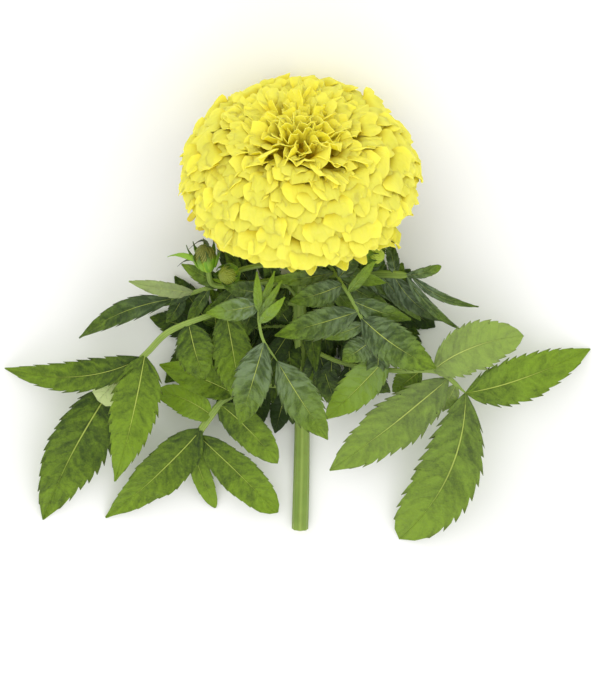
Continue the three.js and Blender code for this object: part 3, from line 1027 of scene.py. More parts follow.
@dataclass
class Bloom:
    """The pompon: curled florets on its face, broad ruffled petals below, a skirt round the rim.

    Its own frame has its middle at the origin and its axis along +Z. Lengths are in millimetres,
    and angles are degrees from the axis. The outline is `radius` wide to each side, `dome` high and
    `skirt` deep, and `core` gives the same measures of the filling inside.

    Across `bands` a petal's kind turns from `face` into `shoulder` and from that into `side`. Petals
    are loose before `loose_band` and tidy past it, and their middles rise out of the outline by the
    first of `rises` before `sunk_band`, by the second past it. `face_edge` parts the face's piece
    from the side's. A tip lies up to `drift` of the spacing off its place, at a share of the outline
    out of `reaches`. It leans, slants and twists by up to `lean`, `slant` and `twist`, and by up to
    `loose_twist` more where it is loose.

    A skirt petal has the ruffle and lift of `hem`, and draws its width, arc, reach and share of its
    drop from the four after that. `hanging` numbers those that hang low, and `drops` says how far
    one hangs, how much further in the second ring, and how much further where it hangs low.

    `starts` are the shares of their lines where the dome's and the skirt's petals begin. `press` is
    the height that no petal goes under, and the depth in which it flattens above that.
    """

    node: str = "bloom"
    centre: Point = (0, 116.9, 41.3)
    tilt: float = 30
    radius: float = 48.2
    dome: float = 32.6
    skirt: float = 13
    core: Point = (39, 25, 5)
    pole_angle: float = 2.5
    rim_angle: float = 107
    face: PetalKind = PetalKind(5.8, 12, 11, 14, 205, 1.3, 0.6)
    shoulder: PetalKind = PetalKind(6.8, 15, 14, 58, 40, 1.6, 0.5)
    side: PetalKind = PetalKind(7.2, 18, 15, 85, -10, 0.75, 0.3)
    hem: PetalKind = PetalKind(10, 20, 9, 90, 0, 1.2, -0.6)
    hem_widths: tuple[float, float] = (9, 13)
    hem_arcs: tuple[float, float] = (-30, 60)
    hem_reaches: tuple[float, float] = (36.5, 40)
    hem_drops: tuple[float, float] = (0.75, 1.15)
    bands: tuple[float, float, float] = (22, 42, 68)
    loose_band: tuple[float, float] = (26, 62)
    sunk_band: tuple[float, float] = (40, 70)
    rises: tuple[float, float] = (1.2, -0.7)
    face_edge: float = 58
    drift: float = 0.3
    reaches: tuple[float, float] = (0.965, 1.01)
    sizes: tuple[float, float] = (0.82, 1.22)
    lean: float = 10
    slant: float = 0.28
    twist: float = 15
    loose_twist: float = 60
    skirt_twist: float = 22
    starts: tuple[float, float] = (0.25, 0.03)
    shapes: tuple[PetalShape, ...] = (PetalShape.FAN, PetalShape.ROUND, PetalShape.LOBED)
    low_shapes: tuple[PetalShape, ...] = (PetalShape.POINTED, PetalShape.POINTED, PetalShape.LOBED)
    hanging_shapes: tuple[PetalShape, ...] = (PetalShape.HANGING, PetalShape.HANGING, PetalShape.POINTED)
    low_angle: float = 98
    skirt_rings: int = 2
    per_ring: int = 24
    hanging: tuple[int, ...] = (3, 9, 13, 22, 30, 36, 41, 42, 43, 44, 46)
    drops: tuple[float, float, float] = (5.5, 1.5, 5.4)
    ages: tuple[float, ...] = (0.0, 0.0, 0.0, 0.0, 0.2, 0.5)
    petal_faces: tuple[int, int] = (8, 6)
    press: tuple[float, float] = (0.25, 3.5)
    thickness: float = 0.32
    crease: float = 60
    seed: int = 1707

    def matrix(self, offset: Array) -> Matrix:
        """Returns the turn and move from the bloom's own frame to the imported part's."""
        turn = Matrix.Rotation(-math.radians(90 - self.tilt), 4, "X")
        return Matrix.Translation(np.array(self.centre) * MM + offset) @ turn

    def outline(self, angle: float, round_: float, share: float = 1.0) -> Array:
        """Finds a point on the bloom's outline.

        Args:
            angle: Radians from the axis.
            round_: Radians round the axis.
            share: Share of the full size.

        Returns:
            The point, in metres in the bloom's own frame.
        """
        height = self.dome if angle < math.pi / 2 else self.skirt
        reach = share * MM / math.hypot(math.sin(angle) / self.radius, math.cos(angle) / height)
        out = math.sin(angle) * reach
        return np.array((out * math.cos(round_), out * math.sin(round_), math.cos(angle) * reach))

    def kind(self, angle: float) -> PetalKind:
        """Blends the measures of a petal on the dome.

        Args:
            angle: Radians from the axis.

        Returns:
            The measures.
        """
        low, middle, high = (math.radians(a) for a in self.bands)
        inner = self.face.towards(self.shoulder, float(eased(angle, low, middle)))
        return inner.towards(self.side, float(eased(angle, middle, high)))

    def tip_angles(self) -> list[float]:
        """Spreads the tips of the dome's petals at their own spacing.

        Returns:
            The tips' angles from the axis, in radians.
        """
        angles = []
        step = math.radians(0.1)
        owed = 0.5  # petals that the area passed so far still has to get
        angle = math.radians(self.pole_angle)
        while angle < math.radians(self.rim_angle):
            here = self.outline(angle, 0)
            band = 2 * math.pi * here[0] * np.linalg.norm(self.outline(angle + step, 0) - here)
            owed += band / (self.kind(angle).spacing * MM) ** 2
            if owed >= 1:
                angles.append(angle)
                owed -= 1
            angle += step
        return angles

    def blank(self, shape: PetalShape) -> bpy.types.Object:
        """Models one flat petal: a strap that opens to its shoulders and ends in a scalloped rim.

        Args:
            shape: Its outline.

        Returns:
            The petal, from -1 to 1 across and -1 to 1 along.
        """
        root, shoulders, end, droop, depth, lobes = shape.value
        across, along = self.petal_faces
        petal = flat_blank(f"petal_{shape.name.lower()}", across, along)
        flat = placed(petal)
        rows, columns = lines_of(flat[:, 1], along), lines_of(flat[:, 0], across)
        for row in range(along + 1):
            share = row / along
            width = blend(root, shoulders, float(eased(share, 0.05, 0.7)))
            width = blend(width, end, float(eased(share, 0.72, 1.0)))
            pick_points(petal, rows == row)
            bpy.ops.transform.resize(value=(width, 1, 1), center_override=(0, 0, 0))
        for column in range(across + 1):
            out = abs(2 * column / across - 1)
            scallop = 0.5 - 0.5 * math.cos(math.pi * lobes * out)
            reach = 1 - droop * out**2.2 - depth * scallop
            pick_points(petal, columns == column)
            bpy.ops.transform.resize(value=(1, reach, 1), center_override=(0, -1, 0))
        bpy.ops.object.mode_set(mode="OBJECT")
        return petal

    def laid(
        self, flat: Array, arch: Arch, start: float, side: Array, kind: PetalKind, rng: random.Random,
        twist: float,
    ) -> Array:
        """Lays a flat petal along a curve.

        Args:
            flat: The flat petal's points.
            arch: The petal's middle line.
            start: Share of the line where the petal begins.
            side: Unit direction across the petal, before its twist.
            kind: The petal's measures.
            rng: Source of its small differences.
            twist: Radians about the line.

        Returns:
            The petal's points, in the bloom's own frame.
        """
        out = flat[:, 0]
        along = np.clip((flat[:, 1] + 1) / 2, 0, 1)
        share = start + (1 - start) * along
        heading = arch.heading(share)
        across = turned(np.broadcast_to(-side, heading.shape), heading, twist)
        across = unit(across - heading * np.sum(across * heading, axis=1, keepdims=True))
        normal = np.cross(across, heading)
        half = kind.width * MM / 2
        flattest = 0.02
        arc = math.radians(kind.arc)
        if abs(arc) < flattest:
            arc = flattest
        bow = half / (arc / 2)
        swing = out * arc / 2
        waves = rng.uniform(1.6, 3.1)
        phase = rng.uniform(0, 2 * math.pi)
        ruffle = kind.ruffle * MM * rng.uniform(0.5, 1.5)
        wave = ruffle * along**1.8 * (
            np.sin(waves * math.pi * out + phase + 1.2 * along)
            + 0.45 * np.sin(1.9 * waves * math.pi * out + 2 * phase - 2 * along)
        )
        flare = kind.lift * MM * rng.uniform(-0.9, 1.7) * eased(along, 0.5, 1.0)
        pleat = -0.4 * MM * (1 - np.abs(out)) * along
        depth = bow * (1 - np.cos(swing)) + wave + flare + pleat
        return arch.at(share) + across * (bow * np.sin(swing))[:, None] + normal * depth[:, None]

    def dome_petal(self, flat: Array, angle: float, round_: float, rng: random.Random) -> Array:
        """Lays out a petal whose tip lies on the outline.

        Args:
            flat: The flat petal's points.
            angle: Radians from the axis to the tip.
            round_: Radians round the axis.
            rng: Source of its small differences.

        Returns:
            The points, in the bloom's own frame.
        """
        kind = self.kind(angle)
        loose = 1 - self._within(angle, self.loose_band)
        drift = self.drift * kind.spacing / self.radius
        angle = max(angle + spread(rng, drift), 0.02)
        round_ += spread(rng, drift) / max(math.sin(angle), 0.15)
        size = rng.uniform(*self.sizes)
        arc = kind.arc * rng.uniform(0.8 - 0.4 * loose, 1.2 + 0.15 * loose)
        kind = replace(kind, width=kind.width * size, arc=arc)
        tip = self.outline(angle, round_, rng.uniform(*self.reaches))
        outward = unit(self.outline(angle, round_))
        side = np.array((-math.sin(round_), math.cos(round_), 0.0))
        down = np.cross(side, outward)
        lean = math.radians(kind.roll + spread(rng, self.lean) * (1 + 0.8 * loose))
        heading = outward * math.cos(lean) + down * math.sin(lean)
        heading = unit(heading + side * spread(rng, self.slant))
        limb = kind.limb * MM
        rise = blend(*self.rises, self._within(angle, self.sunk_band))
        bend = tip - heading * 0.7 * limb + outward * rise * MM
        root = blend(bend, np.array((0, 0, -self.skirt * MM)), 0.3)
        twist = math.radians(spread(rng, self.twist) + spread(rng, self.loose_twist) * loose)
        return self.laid(flat, Arch(root, bend, tip), self.starts[0], side, kind, rng, twist)

    def skirt_petal(self, flat: Array, round_: float, drop: float, rng: random.Random) -> Array:
        """Lays out a petal that runs out from the calyx and hangs round the rim.

        Args:
            flat: The flat petal's points.
            round_: Radians round the axis.
            drop: How far its tip hangs, in millimetres.
            rng: Source of its small differences.

        Returns:
            The points, in the bloom's own frame.
        """

        def at(out: float, height: float) -> Array:
            """Returns a point at a distance from the axis and a height along it."""
            return np.array((out * math.cos(round_), out * math.sin(round_), height)) * MM

        side = np.array((-math.sin(round_), math.cos(round_), 0.0))
        flank = math.cos(round_) ** 2
        reach = rng.uniform(*self.hem_reaches) + 0.2 * drop + 5 * flank
        tip = at(reach, -(drop + 3 * flank) * rng.uniform(*self.hem_drops))
        arch = Arch(at(4.5, -8.6), at(34 + 5 * flank, -5), tip)
        width = rng.uniform(*self.hem_widths) + 0.3 * drop
        kind = replace(self.hem, width=width, arc=rng.uniform(*self.hem_arcs))
        twist = math.radians(spread(rng, self.skirt_twist))
        return self.laid(flat, arch, self.starts[1], side, kind, rng, twist)

    def build(self, clothes: Wardrobe, offset: Array) -> None:
        """Builds the petals in three pieces round a core.

        Args:
            clothes: The finishes.
            offset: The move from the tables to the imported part's frame.
        """
        rng = random.Random(self.seed)
        to_part = np.array(self.matrix(offset))
        blanks = {shape: self.blank(shape) for shape in PetalShape}
        flats = {shape: placed(blank) for shape, blank in blanks.items()}
        groups: dict[str, list[bpy.types.Object]] = {"face": [], "side": [], "skirt": []}
        for number, angle in enumerate(self.tip_angles()):
            low = math.degrees(angle) > self.low_angle
            shape = rng.choice(self.low_shapes if low else self.shapes)
            points = self.dome_petal(flats[shape], angle, number * GOLDEN_ANGLE, rng)
            group = "face" if angle < math.radians(self.face_edge) else "side"
            groups[group].append(grown_copy(blanks[shape], self._placed(points, to_part), age=0.0))
        drop, lower, hang = self.drops
        for number in range(self.skirt_rings * self.per_ring):
            ring = number // self.per_ring
            round_ = 2 * math.pi * (number + 0.5 * ring + spread(rng, 0.3)) / self.per_ring
            shape = rng.choice(self.low_shapes)
            hangs = number in self.hanging
            if hangs:
                shape = rng.choice(self.hanging_shapes)
            points = self.skirt_petal(flats[shape], round_, drop + lower * ring + hang * hangs, rng)
            age = rng.choice(self.ages)
            groups["skirt"].append(grown_copy(blanks[shape], self._placed(points, to_part), age=age))
        for blank in blanks.values():
            remove(blank)
        for name, petals in groups.items():
            piece = thickened(joined(petals, f"bloom_{name}_petals"), self.thickness * MM)
            dress(piece, clothes.petal, self.node, self.crease)
        self._core(clothes, to_part)

    @staticmethod
    def _within(angle: float, band: tuple[float, float]) -> float:
        """Returns 0 before a band of angles in degrees, 1 past it and a smooth rise between."""
        return float(eased(angle, *(math.radians(edge) for edge in band)))

    def _placed(self, points: Array, to_part: Array) -> Array:
        """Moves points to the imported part's frame and presses them where they meet the surface.

        Args:
            points: The points, in the bloom's own frame.
            to_part: The turn and move.

        Returns:
            The points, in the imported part's frame.
        """
        lowest, depth = self.press
        moved = points @ to_part[:3, :3].T + to_part[:3, 3]
        return rested(moved, lowest * MM, depth * MM)

    def _core(self, clothes: Wardrobe, to_part: Array) -> None:
        """Fills the middle of the bloom, seen only as shade between the petals.

        Args:
            clothes: The finishes.
            to_part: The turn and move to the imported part's frame.
        """
        deselect_all()
        bpy.ops.mesh.primitive_uv_sphere_add(segments=48, ring_count=24, radius=1.0)
        core = bpy.context.object
        core.name = "bloom_core"
        points = placed(core)
        out, dome, skirt = self.core
        points *= np.array((out, out, 1.0)) * MM
        points[:, 2] *= np.where(points[:, 2] > 0, dome, skirt)
        place(core, self._placed(points, to_part))
        dress(core, clothes.core, self.node, self.crease)


# ------------------------------------------------------------------ calyx and stem


@dataclass
class Calyx:
    """The ribbed cup of joined bracts under the bloom, in millimetres along the bloom's axis."""

    node: str = "calyx"
    bottom: float = -36
    rim: float = -10
    neck: float = 4.4
    cup: float = 9.5
    bracts: int = 8
    rings: int = 30
    sides_each: int = 8

    def build(self, clothes: Wardrobe, to_part: Array) -> None:
        """Builds the cup.

        Args:
            clothes: The finishes.
            to_part: The turn and move from the bloom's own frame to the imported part's.
        """
        heights = (self.bottom, self.bottom + 3, self.bottom + 9, self.bottom + 16, self.rim)
        reaches = (self.neck * 0.85, self.neck + 1, self.cup - 1.6, self.cup, self.cup - 0.6)
        sides = self.bracts * self.sides_each
        share = np.linspace(0, 1, self.rings)
        height = blend(self.bottom, self.rim, share)
        reach = np.interp(height, heights, reaches)
        window = 5
        reach = np.convolve(np.pad(reach, window // 2, "edge"), np.ones(window) / window, "valid")
        angle = 2 * math.pi * np.arange(sides) / sides
        ridge = np.abs(np.cos(self.bracts * angle / 2)) ** 0.7
        swell = 0.94 + 0.07 * ridge[None, :] * eased(share, 0.05, 0.35)[:, None]
        turn = to_part[:3, :3]
        centres = (np.stack((0 * height, 0 * height, height), axis=1) * MM) @ turn.T + to_part[:3, 3]
        level = np.broadcast_to(turn[:, 0], centres.shape)
        across = np.broadcast_to(turn[:, 1], centres.shape)
        piece = tube("calyx_cup", centres, level, across, reach[:, None] * swell * MM)
        dress(piece, clothes.stalk, self.node)


@dataclass
class Stem:
    """The ridged stem, from its cut end to the swollen neck under the calyx.

    Each entry of `line` is a point of its course and the stem's radius there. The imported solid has
    `solid_rings` rings, and its own `rings` are closer.
    """

    node: str = "stem"
    line: tuple[tuple[float, float, float, float], ...] = (
        (0, -36, 3.3, 3.3), (0.6, -12, 4.0, 3.2), (0.8, 14, 6.0, 3.0), (0, 42, 9.4, 2.7),
        (-0.6, 64, 13.2, 2.6), (0, 78.4, 19.5, 3.3), (0, 86, 23.6, 4.3),
    )
    ridges: int = 8
    sides: int = 64
    rings: int = 90
    solid_rings: int = 80
    press: float = 0.4

    def form(self, rings: int) -> tuple[Array, Array, Array, Array]:
        """Works out the stem's rings on the plant.

        Args:
            rings: Number of rings.

        Returns:
            Their middles, their level and cross directions, and the radii.
        """
        path = Path([point[:3] for point in self.line])
        share = np.linspace(0, 1, rings)
        level, across = path.sides(share)
        radius = np.interp(share, np.linspace(0, 1, len(self.line)), [point[3] for point in self.line])
        angle = 2 * math.pi * np.arange(self.sides) / self.sides
        ridge = 0.965 + 0.045 * np.cos(self.ridges * angle)
        return path.at(share), level, -across, radius[:, None] * ridge[None, :] * MM

    def offset(self) -> Array:
        """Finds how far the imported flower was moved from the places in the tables.

        Returns:
            The move, which is level.
        """
        centres, level, across, radii = self.form(self.solid_rings)
        angle = 2 * math.pi * np.arange(self.sides) / self.sides
        rings = centres[:, None] + radii[..., None] * (
            level[:, None] * np.cos(angle)[None, :, None] + across[:, None] * np.sin(angle)[None, :, None]
        )
        low, high = (np.array(corner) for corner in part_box(self.node))
        middle = (rings.min(axis=(0, 1)) + rings.max(axis=(0, 1))) / 2
        shift = (low + high) / 2 - middle
        shift[2] = 0
        return shift

    def build(self, clothes: Wardrobe, offset: Array) -> None:
        """Builds the stem with its pale cut end.

        Args:
            clothes: The finishes.
            offset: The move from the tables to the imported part's frame.
        """
        centres, level, across, radii = self.form(self.rings)
        piece = tube("stem_stalk", centres + offset, level, across, radii)
        piece.data.materials.append(clothes.stalk)
        piece.data.materials.append(clothes.cut)
        ends = [face for face in piece.data.polygons if len(face.vertices) > 4]
        min(ends, key=lambda face: face.center.y).material_index = 1
        place(piece, rested(placed(piece), 0.0, self.press * MM))
        dress(piece, clothes.stalk, self.node)


# ------------------------------------------------------------------ leaves


# Teeth to an edge of a leaflet that is wider than each width, the widest first.
TEETH = ((15, 10), (9, 8), (0, 5))


@dataclass(frozen=True)
class Leaflet:
    """One leaflet: where it leaves the stalk, its tip, width, arch and lean.

    Lengths are in millimetres, and `at` is a share of the stalk's. `widest` is the share of its own
    length where it is widest, `full` the power of its outline, whose sides are rounder the lower it
    is, `sway` how far its rib bows sideways as a share of its length, `fresh` how much brighter it
    is than its leaf, and `pale` how much of its pale underside shows. The most negative `fresh`
    values, on low leaflets under the others, darken them as painted shade.
    """

    at: float
    tip: Point
    width: float
    arch: float
    lean: float
    widest: float = 0.44
    full: float = 0.92
    sway: float = 0.0
    fresh: float = 0.0
    pale: float = 0.0

    @property
    def teeth(self) -> int:
        """Teeth along one edge."""
        return next(teeth for width, teeth in TEETH if self.width > width)


@dataclass
class Blanks:
    """Flat toothed leaflets, each modelled once for its number of teeth and its set of bites.

    `toothed` is how deep the teeth are, `columns` where the lines along a leaflet run, from its
    rib to its edge, and `sets` how many sets of bites there are. The teeth start at the share
    `foot` of the length and take up the share `toothed_length`, and `last_rows` are the shares of
    the two rows past them.
    """

    toothed: float
    columns: tuple[float, ...] = (0, 0.3, 0.6, 0.86, 1)
    sets: int = 3
    foot: float = 0.07
    toothed_length: float = 0.8
    last_rows: tuple[float, float] = (0.9, 0.955)
    made: dict[tuple[int, int], bpy.types.Object] = field(default_factory=dict)

    def get(self, teeth: int, rng: random.Random) -> bpy.types.Object:
        """Draws one of the flat leaflets.

        Args:
            teeth: Teeth along one edge.
            rng: Source of the draw.

        Returns:
            The leaflet, modelled now if it wasn't before.
        """
        key = (teeth, rng.randrange(self.sets))
        if key not in self.made:
            self.made[key] = self._model(teeth, random.Random(100 * teeth + key[1]))
        return self.made[key]

    def _model(self, teeth: int, rng: random.Random) -> bpy.types.Object:
        """Models a flat leaflet from -1 to 1 both ways, with teeth that point to its tip.

        Args:
            teeth: Teeth along one edge.
            rng: Source of their differences.

        Returns:
            The leaflet, whose "tooth" mark is 1 at the tips of its teeth.
        """
        rows = 3 * teeth + 3
        count = len(self.columns) - 1
        blank = flat_blank("leaflet", 2 * count, rows)
        flat = placed(blank)
        row = lines_of(flat[:, 1], rows)
        column = lines_of(flat[:, 0], 2 * count) - count
        for number, reach in enumerate(self.columns[1:-1], start=1):
            pick_points(blank, np.abs(column) == number)
            bpy.ops.transform.resize(value=(reach * count / number, 1, 1), center_override=(0, 0, 0))
        sharp = np.zeros(len(flat))
        pitch = self.toothed_length / teeth
        stations = dict(zip((rows - 2, rows - 1), self.last_rows))
        for tooth in range(teeth):
            start = self.foot + tooth * pitch
            first = 1 + 3 * tooth
            stations |= {first: start, first + 1: start + 0.55 * pitch, first + 2: start + 0.86 * pitch}
        for number, share in stations.items():
            pick_points(blank, row == number)
            shift = 2 * share - 2 * number / rows
            bpy.ops.transform.translate(value=(0, shift, 0))
        for tooth in range(teeth):
            for side in (-1, 1):
                bite = self.toothed * rng.uniform(0.35, 1.55)
                edge = column == side * count
                pick_points(blank, edge & (row == 1 + 3 * tooth))
                bpy.ops.transform.translate(value=(-0.07 * bite * side, 0, 0))
                tip = edge & (row == 3 + 3 * tooth)
                pick_points(blank, tip)
                bpy.ops.transform.translate(value=(0.075 * bite * side, 0.75 * bite * pitch, 0))
                sharp[tip] = min(bite, 1.0)
        bpy.ops.object.mode_set(mode="OBJECT")
        mark(blank, "tooth", sharp)
        return blank

    def clear(self) -> None:
        """Deletes the flat leaflets."""
        for blank in self.made.values():
            remove(blank)
        self.made.clear()


@dataclass
class Leaf:
    """A compound leaf: a winged stalk with serrated leaflets, lying where its solid lies.

    `extra` leaflets fill it out between the others, and `filler` more are set along the stalk by
    rule. `tone` runs from 0, dark, to 1, fresh green: the leaf's own tone, and painted
    shade where the leaf lies low under the others. `sheen` is the share of painted grey sheen on it.
    `wing` is how broad its stalk gets beyond its own `slim` rod, and `blunt` leaves have shallower
    teeth. A leaflet is at least `narrowest` to each side of its rib and stays `clearance` off the
    surface. The last three are the depths in which leaflets, blades and stalk flatten on it.
    """

    node: str
    stalk: tuple[Point, ...]
    leaflets: tuple[Leaflet, ...]
    extra: tuple[Leaflet, ...] = ()
    filler: int = 0
    tone: float = 0.5
    dust: float = 0.0
    wing: float = 0.2
    slim: float = 0.8
    blunt: bool = False
    thickness: float = 0.34
    narrowest: float = 0.25
    clearance: float = 0.05
    leaflet_press: float = 1.2
    blade_press: float = 0.15
    stalk_press: float = 0.3

    def build(self, clothes: Wardrobe, blanks: Blanks, offset: Array, rng: random.Random) -> None:
        """Builds the leaf as a piece of blades and a piece of stalk.

        Args:
            clothes: The finishes.
            blanks: The flat leaflets.
            offset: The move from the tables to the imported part's frame.
            rng: Source of small differences.
        """
        path = Path(self.stalk)
        leaflets = (*self.leaflets, *self.extra, *self._fillers(path, rng))
        blades = [self._blade(blanks, path, leaflet, offset, rng) for leaflet in leaflets]
        piece = thickened(joined(blades, f"{self.node}_blades"), self.thickness * MM)
        place(piece, rested(placed(piece), 0.0, self.blade_press * MM))
        dress(piece, clothes.leaf, self.node)
        self._stalk(clothes, path, offset)

    def _fillers(self, path: Path, rng: random.Random) -> list[Leaflet]:
        """Sets small leaflets to both sides of the stalk in turn.

        Args:
            path: The leaf's stalk.
            rng: Source of small differences.

        Returns:
            The leaflets.
        """
        made = []
        for number in range(self.filler):
            at = 0.06 + 0.86 * number / self.filler
            base = path.at(np.array((at,)))[0] / MM
            side = 1 if number % 2 else -1
            length = blend(34, 13, at) * rng.uniform(0.75, 1.1)
            angle = math.radians(side * rng.uniform(55, 95))
            out = math.copysign(1, path.points[-1][0])
            tip = (
                base[0] + out * length * math.cos(angle), base[1] + length * math.sin(angle),
                base[2] + rng.uniform(1, 8),
            )
            width, lean = rng.uniform(7, 11), spread(rng, 25)
            made.append(Leaflet(at, tip, width, 2, lean, fresh=rng.uniform(0, 0.2)))
        return made

    def _blade(
        self, blanks: Blanks, path: Path, leaflet: Leaflet, offset: Array, rng: random.Random
    ) -> bpy.types.Object:
        """Lays one flat leaflet along its rib.

        Args:
            blanks: The flat leaflets.
            path: The leaf's stalk.
            leaflet: The leaflet's measures.
            offset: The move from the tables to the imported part's frame.
            rng: Source of small differences.

        Returns:
            The leaflet, as an open sheet.
        """
        blank = blanks.get(leaflet.teeth, rng)
        flat = placed(blank)
        out, share = flat[:, 0], np.clip((flat[:, 1] + 1) / 2, 0, 1)
        base = path.at(np.array((leaflet.at,)))[0]
        tip = np.array(leaflet.tip) * MM
        arch = Arch(base, blend(base, tip, 0.45) + UP * 2 * leaflet.arch * MM, tip)
        heading = arch.heading(share)
        level = unit(np.cross(heading, UP))
        turn = math.radians(leaflet.lean) + math.radians(spread(rng, 14)) * (share - 0.4)
        across = turned(level, heading, turn)
        normal = np.cross(across, heading)

        half = leaflet.width * MM / 2
        middle = np.power(share, math.log(0.5) / math.log(leaflet.widest))
        body = np.power(np.clip(4 * middle * (1 - middle), 0, 1), leaflet.full)
        reach = np.maximum(half * body, self.narrowest * MM)
        bow = (leaflet.sway + spread(rng, 0.02)) * arch.length() * 4 * share * (1 - share)
        waves, phase = rng.uniform(1.8, 3.4), rng.uniform(0, 2 * math.pi)
        wave = 0.1 * half * out**2 * np.sin(2 * math.pi * waves * share + phase + 1.4 * np.sign(out))
        fold = rng.uniform(0.04, 0.3) * reach * np.abs(out) ** 1.3
        relief = 0.03 * half * np.sin(9 * share + 3 * out + phase) * np.sin(5 * out - 4 * share)
        depth = fold + wave * np.sin(math.pi * share) + relief
        points = (
            arch.at(share) + across * (out * reach)[:, None] + level * bow[:, None]
            + normal * depth[:, None]
        )
        lowest = (self.thickness / 2 + self.clearance) * MM
        points = rested(points + offset, lowest, self.leaflet_press * MM)
        # tone and painted shade: low leaves and leaflets under the others are darkened
        tone = self.tone + leaflet.fresh + spread(rng, 0.14)
        # painted sheen: this leaflet's share of grey sheen, less on fresh ones
        dust = self.dust * (1 - leaflet.fresh) * rng.uniform(0.6, 1.2)
        return grown_copy(blank, points, tone=tone, dust=dust, veins=leaflet.teeth + 1.0, pale=leaflet.pale)

    def _stalk(self, clothes: Wardrobe, path: Path, offset: Array) -> None:
        """Builds the leaf's stalk, grooved on top and winged towards its end.

        Args:
            clothes: The finishes.
            path: The stalk's course.
            offset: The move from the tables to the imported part's frame.
        """
        rings, sides = 60, 24
        share = np.linspace(0, 1, rings)
        level, across = path.sides(share)
        angle = 2 * math.pi * np.arange(sides) / sides
        radius = self.slim * ((1.3 - 0.5 * share) * (1 - 0.6 * eased(share, 0.9, 1.0)))[:, None]
        wing = self.wing * eased(share, 0.3, 0.7)[:, None] * np.abs(np.cos(angle))[None, :] ** 8
        groove = 0.22 * np.clip(np.sin(angle), 0, 1)[None, :] ** 4
        radii = radius * (0.94 + 2 * wing - groove) * MM
        piece = tube(f"{self.node}_stalk", path.at(share) + offset, level, across, radii)
        place(piece, rested(placed(piece), 0.0, self.stalk_press * MM))
        dress(piece, clothes.stalk, self.node)


